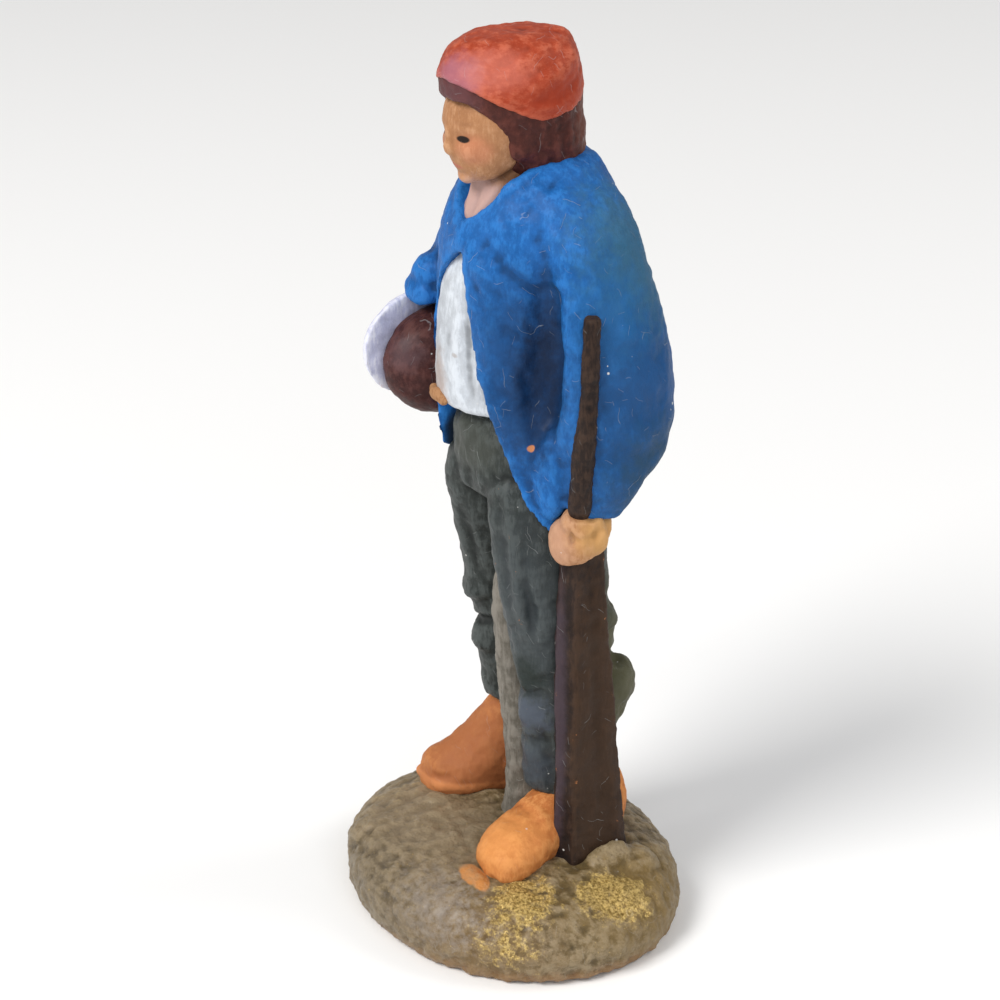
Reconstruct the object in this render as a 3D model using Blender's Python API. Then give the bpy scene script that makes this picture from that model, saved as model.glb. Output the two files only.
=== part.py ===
"""Crib figurine of a standing shepherd in painted terracotta, 69 mm tall.

The figure stands on a low earth mound.  Each limb, garment and thing carried is its own clay
lump.  Neighbouring lumps are seated into each other with a slip joint of 0.3 mm.
Lengths in the lists are millimetres in the figure's own frame: +X is the figure's left hand,
-Y is the way it faces, +Z is up, and zero is the level of the soles.
"""
import math

import bmesh
import bpy
from mathutils import Vector

MM = 0.001
SLIP = 0.3                      # slip joint between neighbouring lumps
SOLE_LEVEL = 5.0                # height of the soles over the table
FIGURE_X = -0.55                # where the figure stands on the mound
FIGURE_Y = 0.59

MOUND_HALF_LENGTH = 14.9
MOUND_HALF_WIDTH = 12.25
MOUND_HEIGHT = 6.1

STAFF_RADIUS = 0.85
POUCH_CENTRE = (-7.9, -3.4, 36.9)
POUCH_RADII = (3.3, 3.7, 3.9)
RIM_CENTRE = (-8.8, -4.3, 37.9)
RIM_RADII = (3.0, 3.3, 3.4)
SIDE_SEAM_Y = 0.65              # seam between the back of the jacket and its two fronts
FRONT_SEAM_X = -0.4             # where the two fronts meet on the chest

for old in list(bpy.data.objects):
    bpy.data.objects.remove(old, do_unlink=True)


def paint(name, colour, roughness=0.75):
    """A matt paint with its own colour and roughness."""
    material = bpy.data.materials.new(name)
    material.use_nodes = True
    shader = material.node_tree.nodes["Principled BSDF"]
    shader.inputs["Base Color"].default_value = (*colour, 1.0)
    shader.inputs["Roughness"].default_value = roughness
    shader.inputs["Metallic"].default_value = 0.0
    return material


EARTH = paint("earth_paint", (0.105, 0.085, 0.030), 0.55)
SHOE_CLAY = paint("shoe_clay", (0.50, 0.17, 0.045), 0.7)
TROUSER_GREEN = paint("trouser_green", (0.035, 0.046, 0.040), 0.65)
STUMP_TAUPE = paint("stump_taupe", (0.11, 0.090, 0.066), 0.75)
SHIRT_WHITE = paint("shirt_white", (0.66, 0.66, 0.62), 0.7)
SKIN = paint("skin_ochre", (0.50, 0.28, 0.13), 0.65)
HAIR_BROWN = paint("hair_brown", (0.060, 0.020, 0.014), 0.65)
CAP_RED = paint("cap_red", (0.47, 0.065, 0.025), 0.65)
JACKET_BLUE = paint("jacket_blue", (0.008, 0.075, 0.24), 0.6)
STAFF_BROWN = paint("staff_brown", (0.040, 0.021, 0.018), 0.7)
POUCH_MAROON = paint("pouch_maroon", (0.085, 0.017, 0.012), 0.65)
RIM_CREAM = paint("rim_cream", (0.48, 0.42, 0.43), 0.7)

figure = bpy.data.objects.new("figure", None)
bpy.context.collection.objects.link(figure)
figure.location = (FIGURE_X * MM, FIGURE_Y * MM, SOLE_LEVEL * MM)


def add_object(name, bm, material, on_figure=True):
    """Turn a closed bmesh into a named object; a cutting form has no material."""
    bmesh.ops.recalc_face_normals(bm, faces=bm.faces)
    mesh = bpy.data.meshes.new(name)
    bm.to_mesh(mesh)
    bm.free()
    obj = bpy.data.objects.new(name, mesh)
    bpy.context.collection.objects.link(obj)
    if on_figure:
        obj.parent = figure
    if material is None:
        obj.hide_render = True
        obj.display_type = "WIRE"
    else:
        mesh.materials.append(material)
        for face in mesh.polygons:
            face.use_smooth = True
    return obj


def ring_axes(points, index, axis, across):
    """Travel, side and rise directions of one ring; without an axis it follows the path."""
    before = points[max(index - 1, 0)]
    after = points[min(index + 1, len(points) - 1)]
    travel = Vector(axis).normalized() if axis else (after - before).normalized()
    side = (across - travel * across.dot(travel)).normalized()
    return travel, side, travel.cross(side)


def loft(name, rings, material=None, grow=0.0, sides=12, axis=(0, 0, 1), across=(1, 0, 0),
         squareness=1.0):
    """Skin a closed body over rings given as x, y, z, half width, half depth."""
    bm = bmesh.new()
    points = [Vector(ring[:3]) for ring in rings]
    last = len(rings) - 1
    loops = []
    for index, (centre, ring) in enumerate(zip(points, rings)):
        travel, side, rise = ring_axes(points, index, axis, Vector(across))
        if index == 0:
            centre = centre - travel * grow
        if index == last:
            centre = centre + travel * grow
        loop = []
        for step in range(sides):
            angle = math.tau * (step + 0.5) / sides
            cosine = math.copysign(abs(math.cos(angle)) ** squareness, math.cos(angle))
            sine = math.copysign(abs(math.sin(angle)) ** squareness, math.sin(angle))
            spot = centre + side * (ring[3] + grow) * cosine + rise * (ring[4] + grow) * sine
            loop.append(bm.verts.new(spot * MM))
        loops.append(loop)
    for lower, upper in zip(loops, loops[1:]):
        for step in range(sides):
            follow = (step + 1) % sides
            bm.faces.new((lower[step], lower[follow], upper[follow], upper[step]))
    bm.faces.new(list(reversed(loops[0])))
    bm.faces.new(loops[-1])
    return add_object(name, bm, material)


def ball(name, centre, radii, material=None, grow=0.0):
    """A squashed ball, wide axis radii given one by one."""
    bm = bmesh.new()
    bmesh.ops.create_uvsphere(bm, u_segments=20, v_segments=13, radius=1.0)
    for vert in bm.verts:
        spot = [centre[k] + vert.co[k] * (radii[k] + grow) for k in range(3)]
        vert.co = Vector(spot) * MM
    return add_object(name, bm, material)


def slab(name, outline, plane, start, end, material=None):
    """Extrude an outline; plane 'xz' runs it along y, 'yz' along x."""
    bm = bmesh.new()
    loops = []
    for reach in (start, end):
        loop = []
        for first, height in outline:
            spot = (first, reach, height) if plane == "xz" else (reach, first, height)
            loop.append(bm.verts.new(Vector(spot) * MM))
        loops.append(loop)
    bm.faces.new(loops[0])
    bm.faces.new(list(reversed(loops[1])))
    for step in range(len(outline)):
        follow = (step + 1) % len(outline)
        bm.faces.new((loops[0][step], loops[1][step], loops[1][follow], loops[0][follow]))
    return add_object(name, bm, material)


def cut(target, *cutters):
    """Take each cutting form out of the target."""
    for cutter in cutters:
        step = target.modifiers.new("seat_" + cutter.name, "BOOLEAN")
        step.operation = "DIFFERENCE"
        step.solver = "EXACT"
        step.object = cutter


# ---------------------------------------------------------------- rings, foot to crown
left_shoe_rings = [
    (2.9, 7.5, 1.7, 1.3, 1.2), (3.1, 6.2, 2.2, 2.2, 2.4), (3.5, 3.6, 2.9, 2.5, 3.2),
    (3.9, 1.6, 2.7, 2.4, 3.0), (4.5, -1.2, 1.9, 2.6, 2.2), (5.1, -3.6, 1.5, 2.9, 1.9),
    (5.5, -5.5, 1.3, 2.3, 1.5), (5.7, -6.4, 1.2, 1.2, 0.8)]
right_shoe_rings = [
    (-3.3, 6.6, 1.9, 1.3, 1.2), (-3.9, 5.4, 2.3, 2.2, 2.5), (-5.0, 3.4, 4.2, 2.3, 4.6),
    (-5.8, 1.6, 3.8, 2.2, 4.1), (-7.2, -0.6, 2.3, 2.5, 2.4), (-8.3, -2.2, 1.7, 2.6, 1.9),
    (-8.9, -3.1, 1.4, 2.0, 1.4), (-9.2, -3.6, 1.3, 1.2, 0.9)]
left_leg_rings = [
    (3.4, 3.5, 4.9, 2.7, 3.2), (3.4, 3.4, 7.5, 2.9, 3.8), (3.4, 3.3, 10.2, 3.0, 4.3),
    (3.4, 3.4, 12.5, 3.1, 4.8), (3.3, 2.6, 14.8, 2.9, 4.2), (3.3, 2.1, 17.4, 3.0, 4.2),
    (3.3, 1.7, 20.0, 3.0, 4.5), (3.3, 1.3, 22.2, 3.0, 4.5), (3.3, 0.9, 25.6, 3.0, 4.6),
    (3.3, 0.8, 29.4, 3.0, 4.7), (3.3, 0.8, 29.7, 1.8, 2.4), (3.3, 0.8, 31.6, 1.8, 2.4)]
right_leg_rings = [
    (-5.4, 3.5, 8.2, 2.3, 2.8), (-5.1, 3.2, 10.7, 2.5, 3.0), (-4.8, 3.0, 14.2, 2.8, 3.4),
    (-4.7, 2.7, 16.3, 2.4, 3.0), (-4.6, 2.4, 18.5, 2.8, 3.5), (-4.3, 1.9, 21.5, 2.7, 3.4),
    (-3.9, 1.2, 25.6, 2.8, 3.8), (-3.6, 0.8, 29.4, 2.9, 4.4), (-3.6, 0.8, 29.7, 1.8, 2.2),
    (-3.6, 0.8, 31.6, 1.8, 2.2)]
stump_rings = [
    (-0.8, 2.0, -0.6, 2.6, 3.0), (-0.8, 2.0, 5.0, 2.3, 2.8), (-0.8, 1.5, 11.5, 2.1, 2.8),
    (-0.7, 0.9, 18.0, 2.1, 2.9), (-0.5, 0.6, 24.6, 1.9, 3.1), (-0.3, 0.6, 29.4, 1.8, 3.5)]
seat_rings = [
    (0.0, 0.7, 30.0, 6.2, 4.8), (0.0, 0.7, 33.0, 6.0, 4.7), (0.0, 0.7, 35.8, 5.8, 4.6)]
skirt_hollow_rings = [
    (0.0, 0.8, 26.0, 6.5, 5.0), (0.0, 0.7, 31.0, 6.5, 5.0)]
torso_rings = [
    (0.0, 0.7, 33.8, 2.6, 2.2), (0.0, 0.7, 36.1, 2.6, 2.2), (0.0, 0.7, 36.2, 5.8, 4.6),
    (0.0, 0.7, 41.0, 5.9, 4.8), (0.0, 0.8, 45.5, 6.0, 4.8), (0.0, 0.8, 49.2, 5.6, 4.6)]
neck_rings = [
    (0.0, 0.4, 47.0, 1.8, 1.6), (0.0, 0.4, 49.4, 1.8, 1.6), (0.0, -0.1, 49.6, 4.0, 3.7),
    (0.0, -0.3, 51.2, 3.2, 3.2), (-0.1, -0.4, 53.2, 2.3, 2.4), (-0.2, -0.5, 56.6, 2.0, 2.1)]
head_rings = [
    (-0.7, -2.7, 52.8, 1.2, 1.2), (-0.6, -2.1, 53.6, 2.2, 2.4), (-0.4, -1.5, 55.1, 3.0, 3.6),
    (-0.3, -1.3, 57.0, 3.3, 4.1), (-0.2, -1.1, 59.0, 3.4, 3.9), (-0.1, -0.8, 60.6, 2.8, 3.2),
    (0.0, -0.6, 61.7, 1.7, 2.0)]
hair_rings = [
    (0.1, 1.2, 54.2, 3.1, 2.7), (0.1, 0.6, 55.6, 3.9, 4.1), (0.0, 0.1, 57.4, 4.4, 4.9),
    (0.0, -0.4, 59.3, 4.5, 5.4), (0.0, -0.5, 60.9, 4.2, 5.1)]
cap_rings = [
    (0.0, -0.3, 57.2, 4.4, 5.1), (0.0, -0.4, 59.4, 4.6, 5.4), (0.0, -0.4, 60.9, 4.5, 5.2),
    (0.0, -0.2, 62.2, 3.9, 4.4), (0.0, 0.0, 63.0, 2.9, 3.3), (0.0, 0.1, 63.4, 1.6, 1.9)]
cap_fold_rings = [
    (-0.2, 0.2, 63.3, 0.8, 0.6), (0.3, 1.6, 63.2, 1.4, 0.9), (0.7, 2.9, 62.7, 1.5, 1.0),
    (1.0, 4.0, 61.7, 1.0, 0.8)]
jacket_rings = [
    (0.2, 1.5, 27.4, 7.5, 5.9), (0.2, 1.4, 32.0, 7.6, 6.2), (0.0, 1.2, 38.0, 7.5, 6.2),
    (0.0, 1.2, 44.0, 7.5, 6.2), (0.0, 1.3, 48.0, 7.4, 6.2), (0.2, 1.5, 50.2, 7.2, 6.0),
    (0.2, 1.8, 52.2, 6.3, 5.4), (0.3, 2.0, 54.0, 4.9, 4.2), (0.3, 2.2, 55.0, 3.9, 3.5)]
left_sleeve_rings = [
    (3.9, 2.1, 54.0, 1.2, 2.4), (4.9, 2.1, 52.6, 1.9, 3.4), (5.9, 2.1, 50.6, 2.6, 3.9),
    (6.6, 2.3, 48.2, 3.0, 4.1), (7.3, 2.6, 45.2, 3.3, 4.4),
    (8.0, 3.0, 41.5, 3.3, 4.6), (8.4, 3.2, 38.0, 3.3, 4.7), (8.5, 3.0, 34.6, 3.1, 4.3),
    (8.5, 2.6, 31.6, 2.7, 3.6), (8.4, 2.3, 29.8, 1.9, 2.5)]
right_sleeve_rings = [
    (-5.6, 1.3, 50.0, 2.0, 2.3), (-6.5, 1.3, 47.6, 2.6, 2.9), (-7.6, 1.0, 44.6, 2.8, 2.9),
    (-8.5, -0.3, 42.4, 2.6, 2.5), (-8.6, -2.4, 41.2, 2.3, 2.1), (-8.1, -4.4, 40.6, 1.9, 1.6)]
left_hand_rings = [
    (7.4, -2.4, 28.9, 0.9, 1.0), (7.7, -1.4, 28.6, 1.8, 1.8), (8.1, 0.5, 28.4, 2.1, 1.9),
    (8.4, 2.2, 28.8, 1.7, 1.6), (8.5, 3.1, 29.1, 0.9, 0.9)]
right_hand_rings = [
    (-2.6, -5.1, 37.6, 0.5, 0.5), (-2.8, -5.3, 36.7, 0.9, 0.9), (-3.1, -5.2, 35.4, 1.1, 1.0),
    (-3.6, -4.8, 34.3, 0.9, 0.8)]
staff_rings = [
    (10.0, -0.1, 45.6, 0.75, 0.75), (10.2, -0.4, 42.4, STAFF_RADIUS, STAFF_RADIUS),
    (10.3, -0.6, 38.6, 0.78, 0.78), (9.9, -0.8, 35.0, 0.9, 0.9),
    (9.2, -0.6, 31.2, STAFF_RADIUS, STAFF_RADIUS), (8.3, 0.0, 27.8, 0.8, 0.8)]
mound_profile = [
    (0.0, 0.95), (0.16, 0.985), (0.36, 1.0), (0.58, 0.97), (0.77, 0.88), (0.91, 0.70),
    (1.0, 0.40)]

# ---------------------------------------------------------------- earth mound
mound_bm = bmesh.new()
mound_loops = []
for share, spread in mound_profile:
    mound_loop = []
    for side_step in range(24):
        bearing = math.tau * side_step / 24
        lump = 1.0 + 0.018 * math.sin(3 * bearing + 9 * share) * share
        reach_x = MOUND_HALF_LENGTH * spread * lump * math.cos(bearing)
        reach_y = MOUND_HALF_WIDTH * spread * lump * math.sin(bearing)
        height = MOUND_HEIGHT * share
        mound_loop.append(mound_bm.verts.new(Vector((reach_x, reach_y, height)) * MM))
    mound_loops.append(mound_loop)
for lower_loop, upper_loop in zip(mound_loops, mound_loops[1:]):
    for side_step in range(24):
        next_step = (side_step + 1) % 24
        corners = (lower_loop[side_step], lower_loop[next_step])
        mound_bm.faces.new(corners + (upper_loop[next_step], upper_loop[side_step]))
mound_bm.faces.new(list(reversed(mound_loops[0])))
mound_bm.faces.new(mound_loops[-1])
earth_mound = add_object("earth_mound", mound_bm, EARTH, on_figure=False)

# ---------------------------------------------------------------- legs and feet
LEFT_FOOT = {"axis": (0.2, -1, 0), "across": (1, 0, 0)}
RIGHT_FOOT = {"axis": (-0.5, -1, 0), "across": (1, 0, 0)}
left_shoe = loft("left_shoe", left_shoe_rings, SHOE_CLAY, **LEFT_FOOT)
left_shoe_form = loft("left_shoe_form", left_shoe_rings, None, SLIP, **LEFT_FOOT)
right_shoe = loft("right_shoe", right_shoe_rings, SHOE_CLAY, **RIGHT_FOOT)
right_shoe_form = loft("right_shoe_form", right_shoe_rings, None, SLIP, **RIGHT_FOOT)
left_leg = loft("left_trouser_leg", left_leg_rings, TROUSER_GREEN)
left_leg_form = loft("left_leg_form", left_leg_rings, None, SLIP)
right_leg = loft("right_trouser_leg", right_leg_rings, TROUSER_GREEN)
right_leg_form = loft("right_leg_form", right_leg_rings, None, SLIP)
tree_stump = loft("tree_stump", stump_rings, STUMP_TAUPE)
stump_form = loft("stump_form", stump_rings, None, SLIP)

# ---------------------------------------------------------------- body
trouser_seat = loft("trouser_seat", seat_rings, TROUSER_GREEN, sides=16)
seat_form = loft("seat_form", seat_rings, None, SLIP, sides=16)
skirt_hollow = loft("skirt_hollow", skirt_hollow_rings, sides=16)
shirt_torso = loft("shirt_torso", torso_rings, SHIRT_WHITE, sides=16)
torso_form = loft("torso_form", torso_rings, None, SLIP, sides=16)
neck = loft("neck", neck_rings, SKIN)
neck_form = loft("neck_form", neck_rings, None, SLIP)

# ---------------------------------------------------------------- head, hair and cap
head = loft("head", head_rings, SKIN, sides=14)
head_form = loft("head_form", head_rings, None, SLIP, sides=14)
hair = loft("hair", hair_rings, HAIR_BROWN, sides=14)
hair_form = loft("hair_form", hair_rings, None, SLIP, sides=14)
cap = loft("cap", cap_rings, CAP_RED, sides=14)
cap_form = loft("cap_form", cap_rings, None, SLIP, sides=14)
cap_fold = loft("cap_fold", cap_fold_rings, CAP_RED, sides=10, axis=None)
face_gap = [(-2.1, 53.0), (-2.1, 55.7), (-4.0, 58.2), (-5.4, 59.5), (-8.0, 60.4), (-8.0, 53.0)]
face_opening = slab("face_opening", face_gap, "yz", -7, 7)
rim_line = [(-8.0, 61.9), (-5.0, 60.6), (-3.0, 59.0), (-0.5, 58.0), (2.5, 58.4), (8.0, 60.0)]
below_rim = [(8.0, 55.0), (-8.0, 55.0)]
under_cap = slab("under_cap", rim_line + below_rim, "yz", -7, 7)
lowered_rim = [(reach, height - SLIP) for reach, height in reversed(rim_line)]
above_rim = [(-8.0, 66.0), (8.0, 66.0)]
over_hair = slab("over_hair", lowered_rim + above_rim, "yz", -7, 7)

# ---------------------------------------------------------------- jacket
BOX = {"sides": 20, "squareness": 0.86}
jacket_back = loft("jacket_back", jacket_rings, JACKET_BLUE, **BOX)
jacket_left_front = loft("jacket_left_front", jacket_rings, JACKET_BLUE, **BOX)
jacket_right_front = loft("jacket_right_front", jacket_rings, JACKET_BLUE, **BOX)
jacket_form = loft("jacket_form", jacket_rings, None, SLIP, **BOX)
HALF_SLIP = SLIP / 2
seam_back = SIDE_SEAM_Y + HALF_SLIP
seam_front = SIDE_SEAM_Y - HALF_SLIP
hull = [(-12, 20), (12, 20), (12, 60), (-12, 60)]
front_half = slab("front_half", hull, "xz", -12, seam_back)
back_half = slab("back_half", hull, "xz", seam_front, 12)
seam_left = FRONT_SEAM_X + HALF_SLIP
seam_right = FRONT_SEAM_X - HALF_SLIP
right_half = slab("right_half", [(-12, 20), (seam_left, 20), (seam_left, 60), (-12, 60)],
                  "xz", -12, 12)
left_half = slab("left_half", [(seam_right, 20), (12, 20), (12, 60), (seam_right, 60)],
                 "xz", -12, 12)
neckline = [(-0.3, 50.3), (2.2, 52.4), (3.4, 56.0), (-3.4, 56.0), (-2.6, 52.4)]
neck_opening = slab("neck_opening", neckline, "xz", -12, 0.2)
left_edge = [(-0.1, 47.9), (2.3, 45.6), (3.4, 41.8), (4.2, 36.7), (5.6, 32.0), (6.5, 28.4),
             (6.6, 24.0)]
right_edge = [(-3.5, 24.0), (-3.5, 37.4), (-3.0, 40.4), (-1.8, 43.3), (-0.9, 46.0)]
shirt_opening = slab("shirt_opening", left_edge + right_edge, "xz", -12, 0.2)
short_hem = slab("short_hem", [(-12, 20), (-1, 20), (-1, 31.8), (-4.0, 31.8), (-12, 30.4)],
                 "xz", -12, 12)

# ---------------------------------------------------------------- arms, hands, things carried
left_sleeve = loft("left_sleeve", left_sleeve_rings, JACKET_BLUE, sides=14)
left_sleeve_form = loft("left_sleeve_form", left_sleeve_rings, None, SLIP, sides=14)
right_sleeve = loft("right_sleeve", right_sleeve_rings, JACKET_BLUE, axis=None)
right_sleeve_form = loft("right_sleeve_form", right_sleeve_rings, None, SLIP, axis=None)
left_hand = loft("left_hand", left_hand_rings, SKIN, sides=10, axis=None)
left_hand_form = loft("left_hand_form", left_hand_rings, None, SLIP, sides=10, axis=None)
right_hand = loft("right_hand", right_hand_rings, SKIN, sides=10, axis=None)
right_hand_form = loft("right_hand_form", right_hand_rings, None, SLIP, sides=10, axis=None)
staff = loft("staff", staff_rings, STAFF_BROWN, sides=10, axis=None)
staff_form = loft("staff_form", staff_rings, None, SLIP, sides=10, axis=None)
pouch_body = ball("pouch_body", POUCH_CENTRE, POUCH_RADII, POUCH_MAROON)
pouch_form = ball("pouch_form", POUCH_CENTRE, POUCH_RADII, None, SLIP)
pouch_rim = ball("pouch_rim", RIM_CENTRE, RIM_RADII, RIM_CREAM)
rim_form = ball("rim_form", RIM_CENTRE, RIM_RADII, None, SLIP)


def staff_foot_mesh(name, material, grow):
    """The faceted buttress under the hand, wider at the ground."""
    bm = bmesh.new()
    loops = []
    plans = (
        (-1.0, ((5.6, 0.0), (6.7, -0.5), (8.2, 0.1), (8.3, 4.9), (5.6, 4.9))),
        (13.5, ((5.6, -0.1), (6.6, -0.6), (8.1, 0.2), (8.1, 3.7), (5.6, 3.7))),
        (26.4, ((5.6, 0.0), (6.5, -0.2), (8.0, 0.3), (8.0, 2.3), (5.6, 2.3))))
    for height, plan in plans:
        if height < 0:
            height -= grow
        if height > 20:
            height += grow
        centre_x = sum(corner[0] for corner in plan) / len(plan)
        centre_y = sum(corner[1] for corner in plan) / len(plan)
        loop = []
        for corner_x, corner_y in plan:
            spot_x = corner_x + math.copysign(grow, corner_x - centre_x)
            spot_y = corner_y + math.copysign(grow, corner_y - centre_y)
            loop.append(bm.verts.new(Vector((spot_x, spot_y, height)) * MM))
        loops.append(loop)
    for lower, upper in zip(loops, loops[1:]):
        for step in range(5):
            follow = (step + 1) % 5
            bm.faces.new((lower[step], lower[follow], upper[follow], upper[step]))
    bm.faces.new(list(reversed(loops[0])))
    bm.faces.new(loops[-1])
    obj = add_object(name, bm, material)
    if material is not None:
        for face in obj.data.polygons:
            face.use_smooth = False
    return obj


staff_foot = staff_foot_mesh("staff_foot", STAFF_BROWN, 0.0)
staff_foot_form = staff_foot_mesh("staff_foot_form", None, SLIP)

# ---------------------------------------------------------------- seat every lump in its neighbours
cut(earth_mound, left_shoe_form, right_shoe_form, stump_form, staff_foot_form)
cut(tree_stump, left_leg_form, right_leg_form, left_shoe_form, right_shoe_form)
cut(left_leg, left_shoe_form)
cut(right_leg, right_shoe_form)
cut(staff_foot, left_leg_form, left_shoe_form, seat_form)
cut(trouser_seat, left_leg_form, right_leg_form, torso_form)
cut(shirt_torso, neck_form)
cut(head, neck_form)
cut(cap, under_cap, head_form)
cut(cap_fold, cap_form)
cut(hair, head_form, neck_form, face_opening, over_hair)
cut(jacket_back, front_half, torso_form, seat_form, skirt_hollow, left_leg_form, right_leg_form,
    neck_form, hair_form)
cut(jacket_left_front, back_half, right_half, torso_form, seat_form, skirt_hollow, neck_form,
    hair_form, neck_opening, shirt_opening)
cut(jacket_right_front, back_half, left_half, torso_form, seat_form, skirt_hollow, neck_form,
    hair_form, neck_opening, shirt_opening, short_hem)
cut(left_sleeve, jacket_form, left_hand_form, staff_form)
cut(left_hand, staff_form, staff_foot_form, jacket_form)
cut(right_sleeve, jacket_form, pouch_form, rim_form)
cut(pouch_body, jacket_form, right_hand_form)
cut(pouch_rim, pouch_form, jacket_form)
cut(right_hand, jacket_form)
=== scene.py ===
"""The looks of a painted clay crib figurine: a shepherd with cap, open jacket, bag and staff.

Each garment, limb and thing carried is a class that draws its clay lumps out, fuses them, tools
creases and folds into the skin and paints them.  On the bench a piece is in millimetres in the
figure's own frame (+X its left hand, -Y the way it faces, zero at the soles); firing puts it in
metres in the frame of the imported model.
"""

import logging
import math
import random
from dataclasses import dataclass
from enum import Enum

import bpy
import numpy as np
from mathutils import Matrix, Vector

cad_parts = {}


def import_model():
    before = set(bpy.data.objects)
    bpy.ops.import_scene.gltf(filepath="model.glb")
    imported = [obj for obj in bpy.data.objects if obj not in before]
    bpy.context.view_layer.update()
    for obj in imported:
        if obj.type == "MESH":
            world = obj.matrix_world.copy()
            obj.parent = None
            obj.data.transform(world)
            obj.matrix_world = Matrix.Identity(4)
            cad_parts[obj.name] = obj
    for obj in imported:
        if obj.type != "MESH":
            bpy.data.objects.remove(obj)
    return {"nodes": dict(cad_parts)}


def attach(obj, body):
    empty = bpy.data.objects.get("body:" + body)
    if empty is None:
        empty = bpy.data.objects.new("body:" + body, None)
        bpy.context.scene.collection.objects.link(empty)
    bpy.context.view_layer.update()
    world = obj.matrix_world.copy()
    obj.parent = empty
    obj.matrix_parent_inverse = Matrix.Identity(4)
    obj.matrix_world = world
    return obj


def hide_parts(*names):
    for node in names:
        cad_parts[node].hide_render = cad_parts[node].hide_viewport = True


log = logging.getLogger("shepherd")

Point = tuple[float, float, float]
Ring = tuple[float, float, float, float, float]
Outline = list[tuple[float, float]]
Rgb = tuple[float, float, float]
Lump = tuple[Point, Point]

MM = 0.001
# Where the figure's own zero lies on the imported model, in millimetres.
FIGURE_AT: Point = (-0.55, 0.59, 5.0)
ROOT = "root"
# How far apart, in millimetres, two dimple patterns are taken from the same clouds.
PATTERN_STEP = 7.3
# Share of the proud clay that a board presses flat.
BOARD_FIRMNESS = 0.9

# The litter on the paints, the litter on the earth, and the gold powder: a dark gold tone and a
# bright gold laid on as painted glints.
DUST: Rgb = (0.55, 0.54, 0.52)
SPECK: Rgb = (0.72, 0.71, 0.69)
LINT: Rgb = (0.60, 0.62, 0.62)
EARTH_SPECK: Rgb = (0.60, 0.58, 0.54)
EARTH_LINT: Rgb = (0.66, 0.65, 0.62)
GOLD_SHADE: Rgb = (0.24, 0.145, 0.030)
GOLD_SHINE: Rgb = (0.78, 0.56, 0.20)


class Run(Enum):
    """Which way the rings of a lump lie."""

    UP = "level rings, the lump climbs"
    FORWARD = "upright rings, the lump runs along Y"


class Axis(Enum):
    """An axis of the figure's frame, by its place in a point."""

    X = 0
    Y = 1
    Z = 2


@dataclass(frozen=True)
class Stroke:
    """One pull of a modelling tool: a line on the skin, raised or pressed in.

    The path, the radius and the depth are in millimetres; a negative depth presses in.  The higher
    sharp is, the faster the mark fades away from its line.
    """

    path: tuple[Point, ...]
    radius: float
    depth: float
    sharp: float = 2.0


@dataclass(frozen=True)
class Push:
    """A thumb push: the skin within the radius of a point moves with it, in millimetres."""

    centre: Point
    radius: float
    move: Point


def clear_selection() -> None:
    """Leave edit mode and deselect everything."""
    if bpy.context.object is not None and bpy.context.object.mode != "OBJECT":
        bpy.ops.object.mode_set(mode="OBJECT")
    bpy.ops.object.select_all(action="DESELECT")


def pick(obj: bpy.types.Object) -> None:
    """Make one object the only selected and active one.

    Args:
        obj: The object to select.
    """
    clear_selection()
    obj.select_set(True)
    bpy.context.view_layer.objects.active = obj


def smooth_line(path: tuple[Point, ...], steps: int = 6) -> np.ndarray:
    """Round a path of a few points into a finer curve through them.

    Args:
        path: The points to pass through.
        steps: New points between two given ones.

    Returns:
        The finer points, one per row.
    """
    points = np.array(path, float)
    if len(points) < 3:
        return points
    padded = np.vstack([2 * points[0] - points[1], points, 2 * points[-1] - points[-2]])
    rows = []
    for index in range(1, len(padded) - 2):
        before, start, end, after = padded[index - 1:index + 3]
        for step in range(steps):
            t = step / steps
            rows.append(0.5 * (2 * start + (end - before) * t
                               + (2 * before - 5 * start + 4 * end - after) * t * t
                               + (3 * start - before - 3 * end + after) * t ** 3))
    rows.append(padded[-2])
    return np.array(rows)


def distance_to(points: np.ndarray, path: np.ndarray) -> tuple[np.ndarray, np.ndarray]:
    """Measure how far points are from a line.

    Args:
        points: The points, one per row.
        path: The line's corners, one per row.

    Returns:
        The distance of each point, and how far along the line its nearest spot is, 0 to 1.
    """
    best = np.full(len(points), 1e9)
    along = np.zeros(len(points))
    if len(path) == 1:
        return np.linalg.norm(points - path[0], axis=1), along + 0.5
    count = len(path) - 1
    for index in range(count):
        start, span = path[index], path[index + 1] - path[index]
        t = np.clip((points - start) @ span / max(span @ span, 1e-12), 0, 1)
        far = np.linalg.norm(points - start - t[:, None] * span, axis=1)
        nearer = far < best
        best[nearer] = far[nearer]
        along[nearer] = (index + t[nearer]) / count
    return best, along


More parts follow.
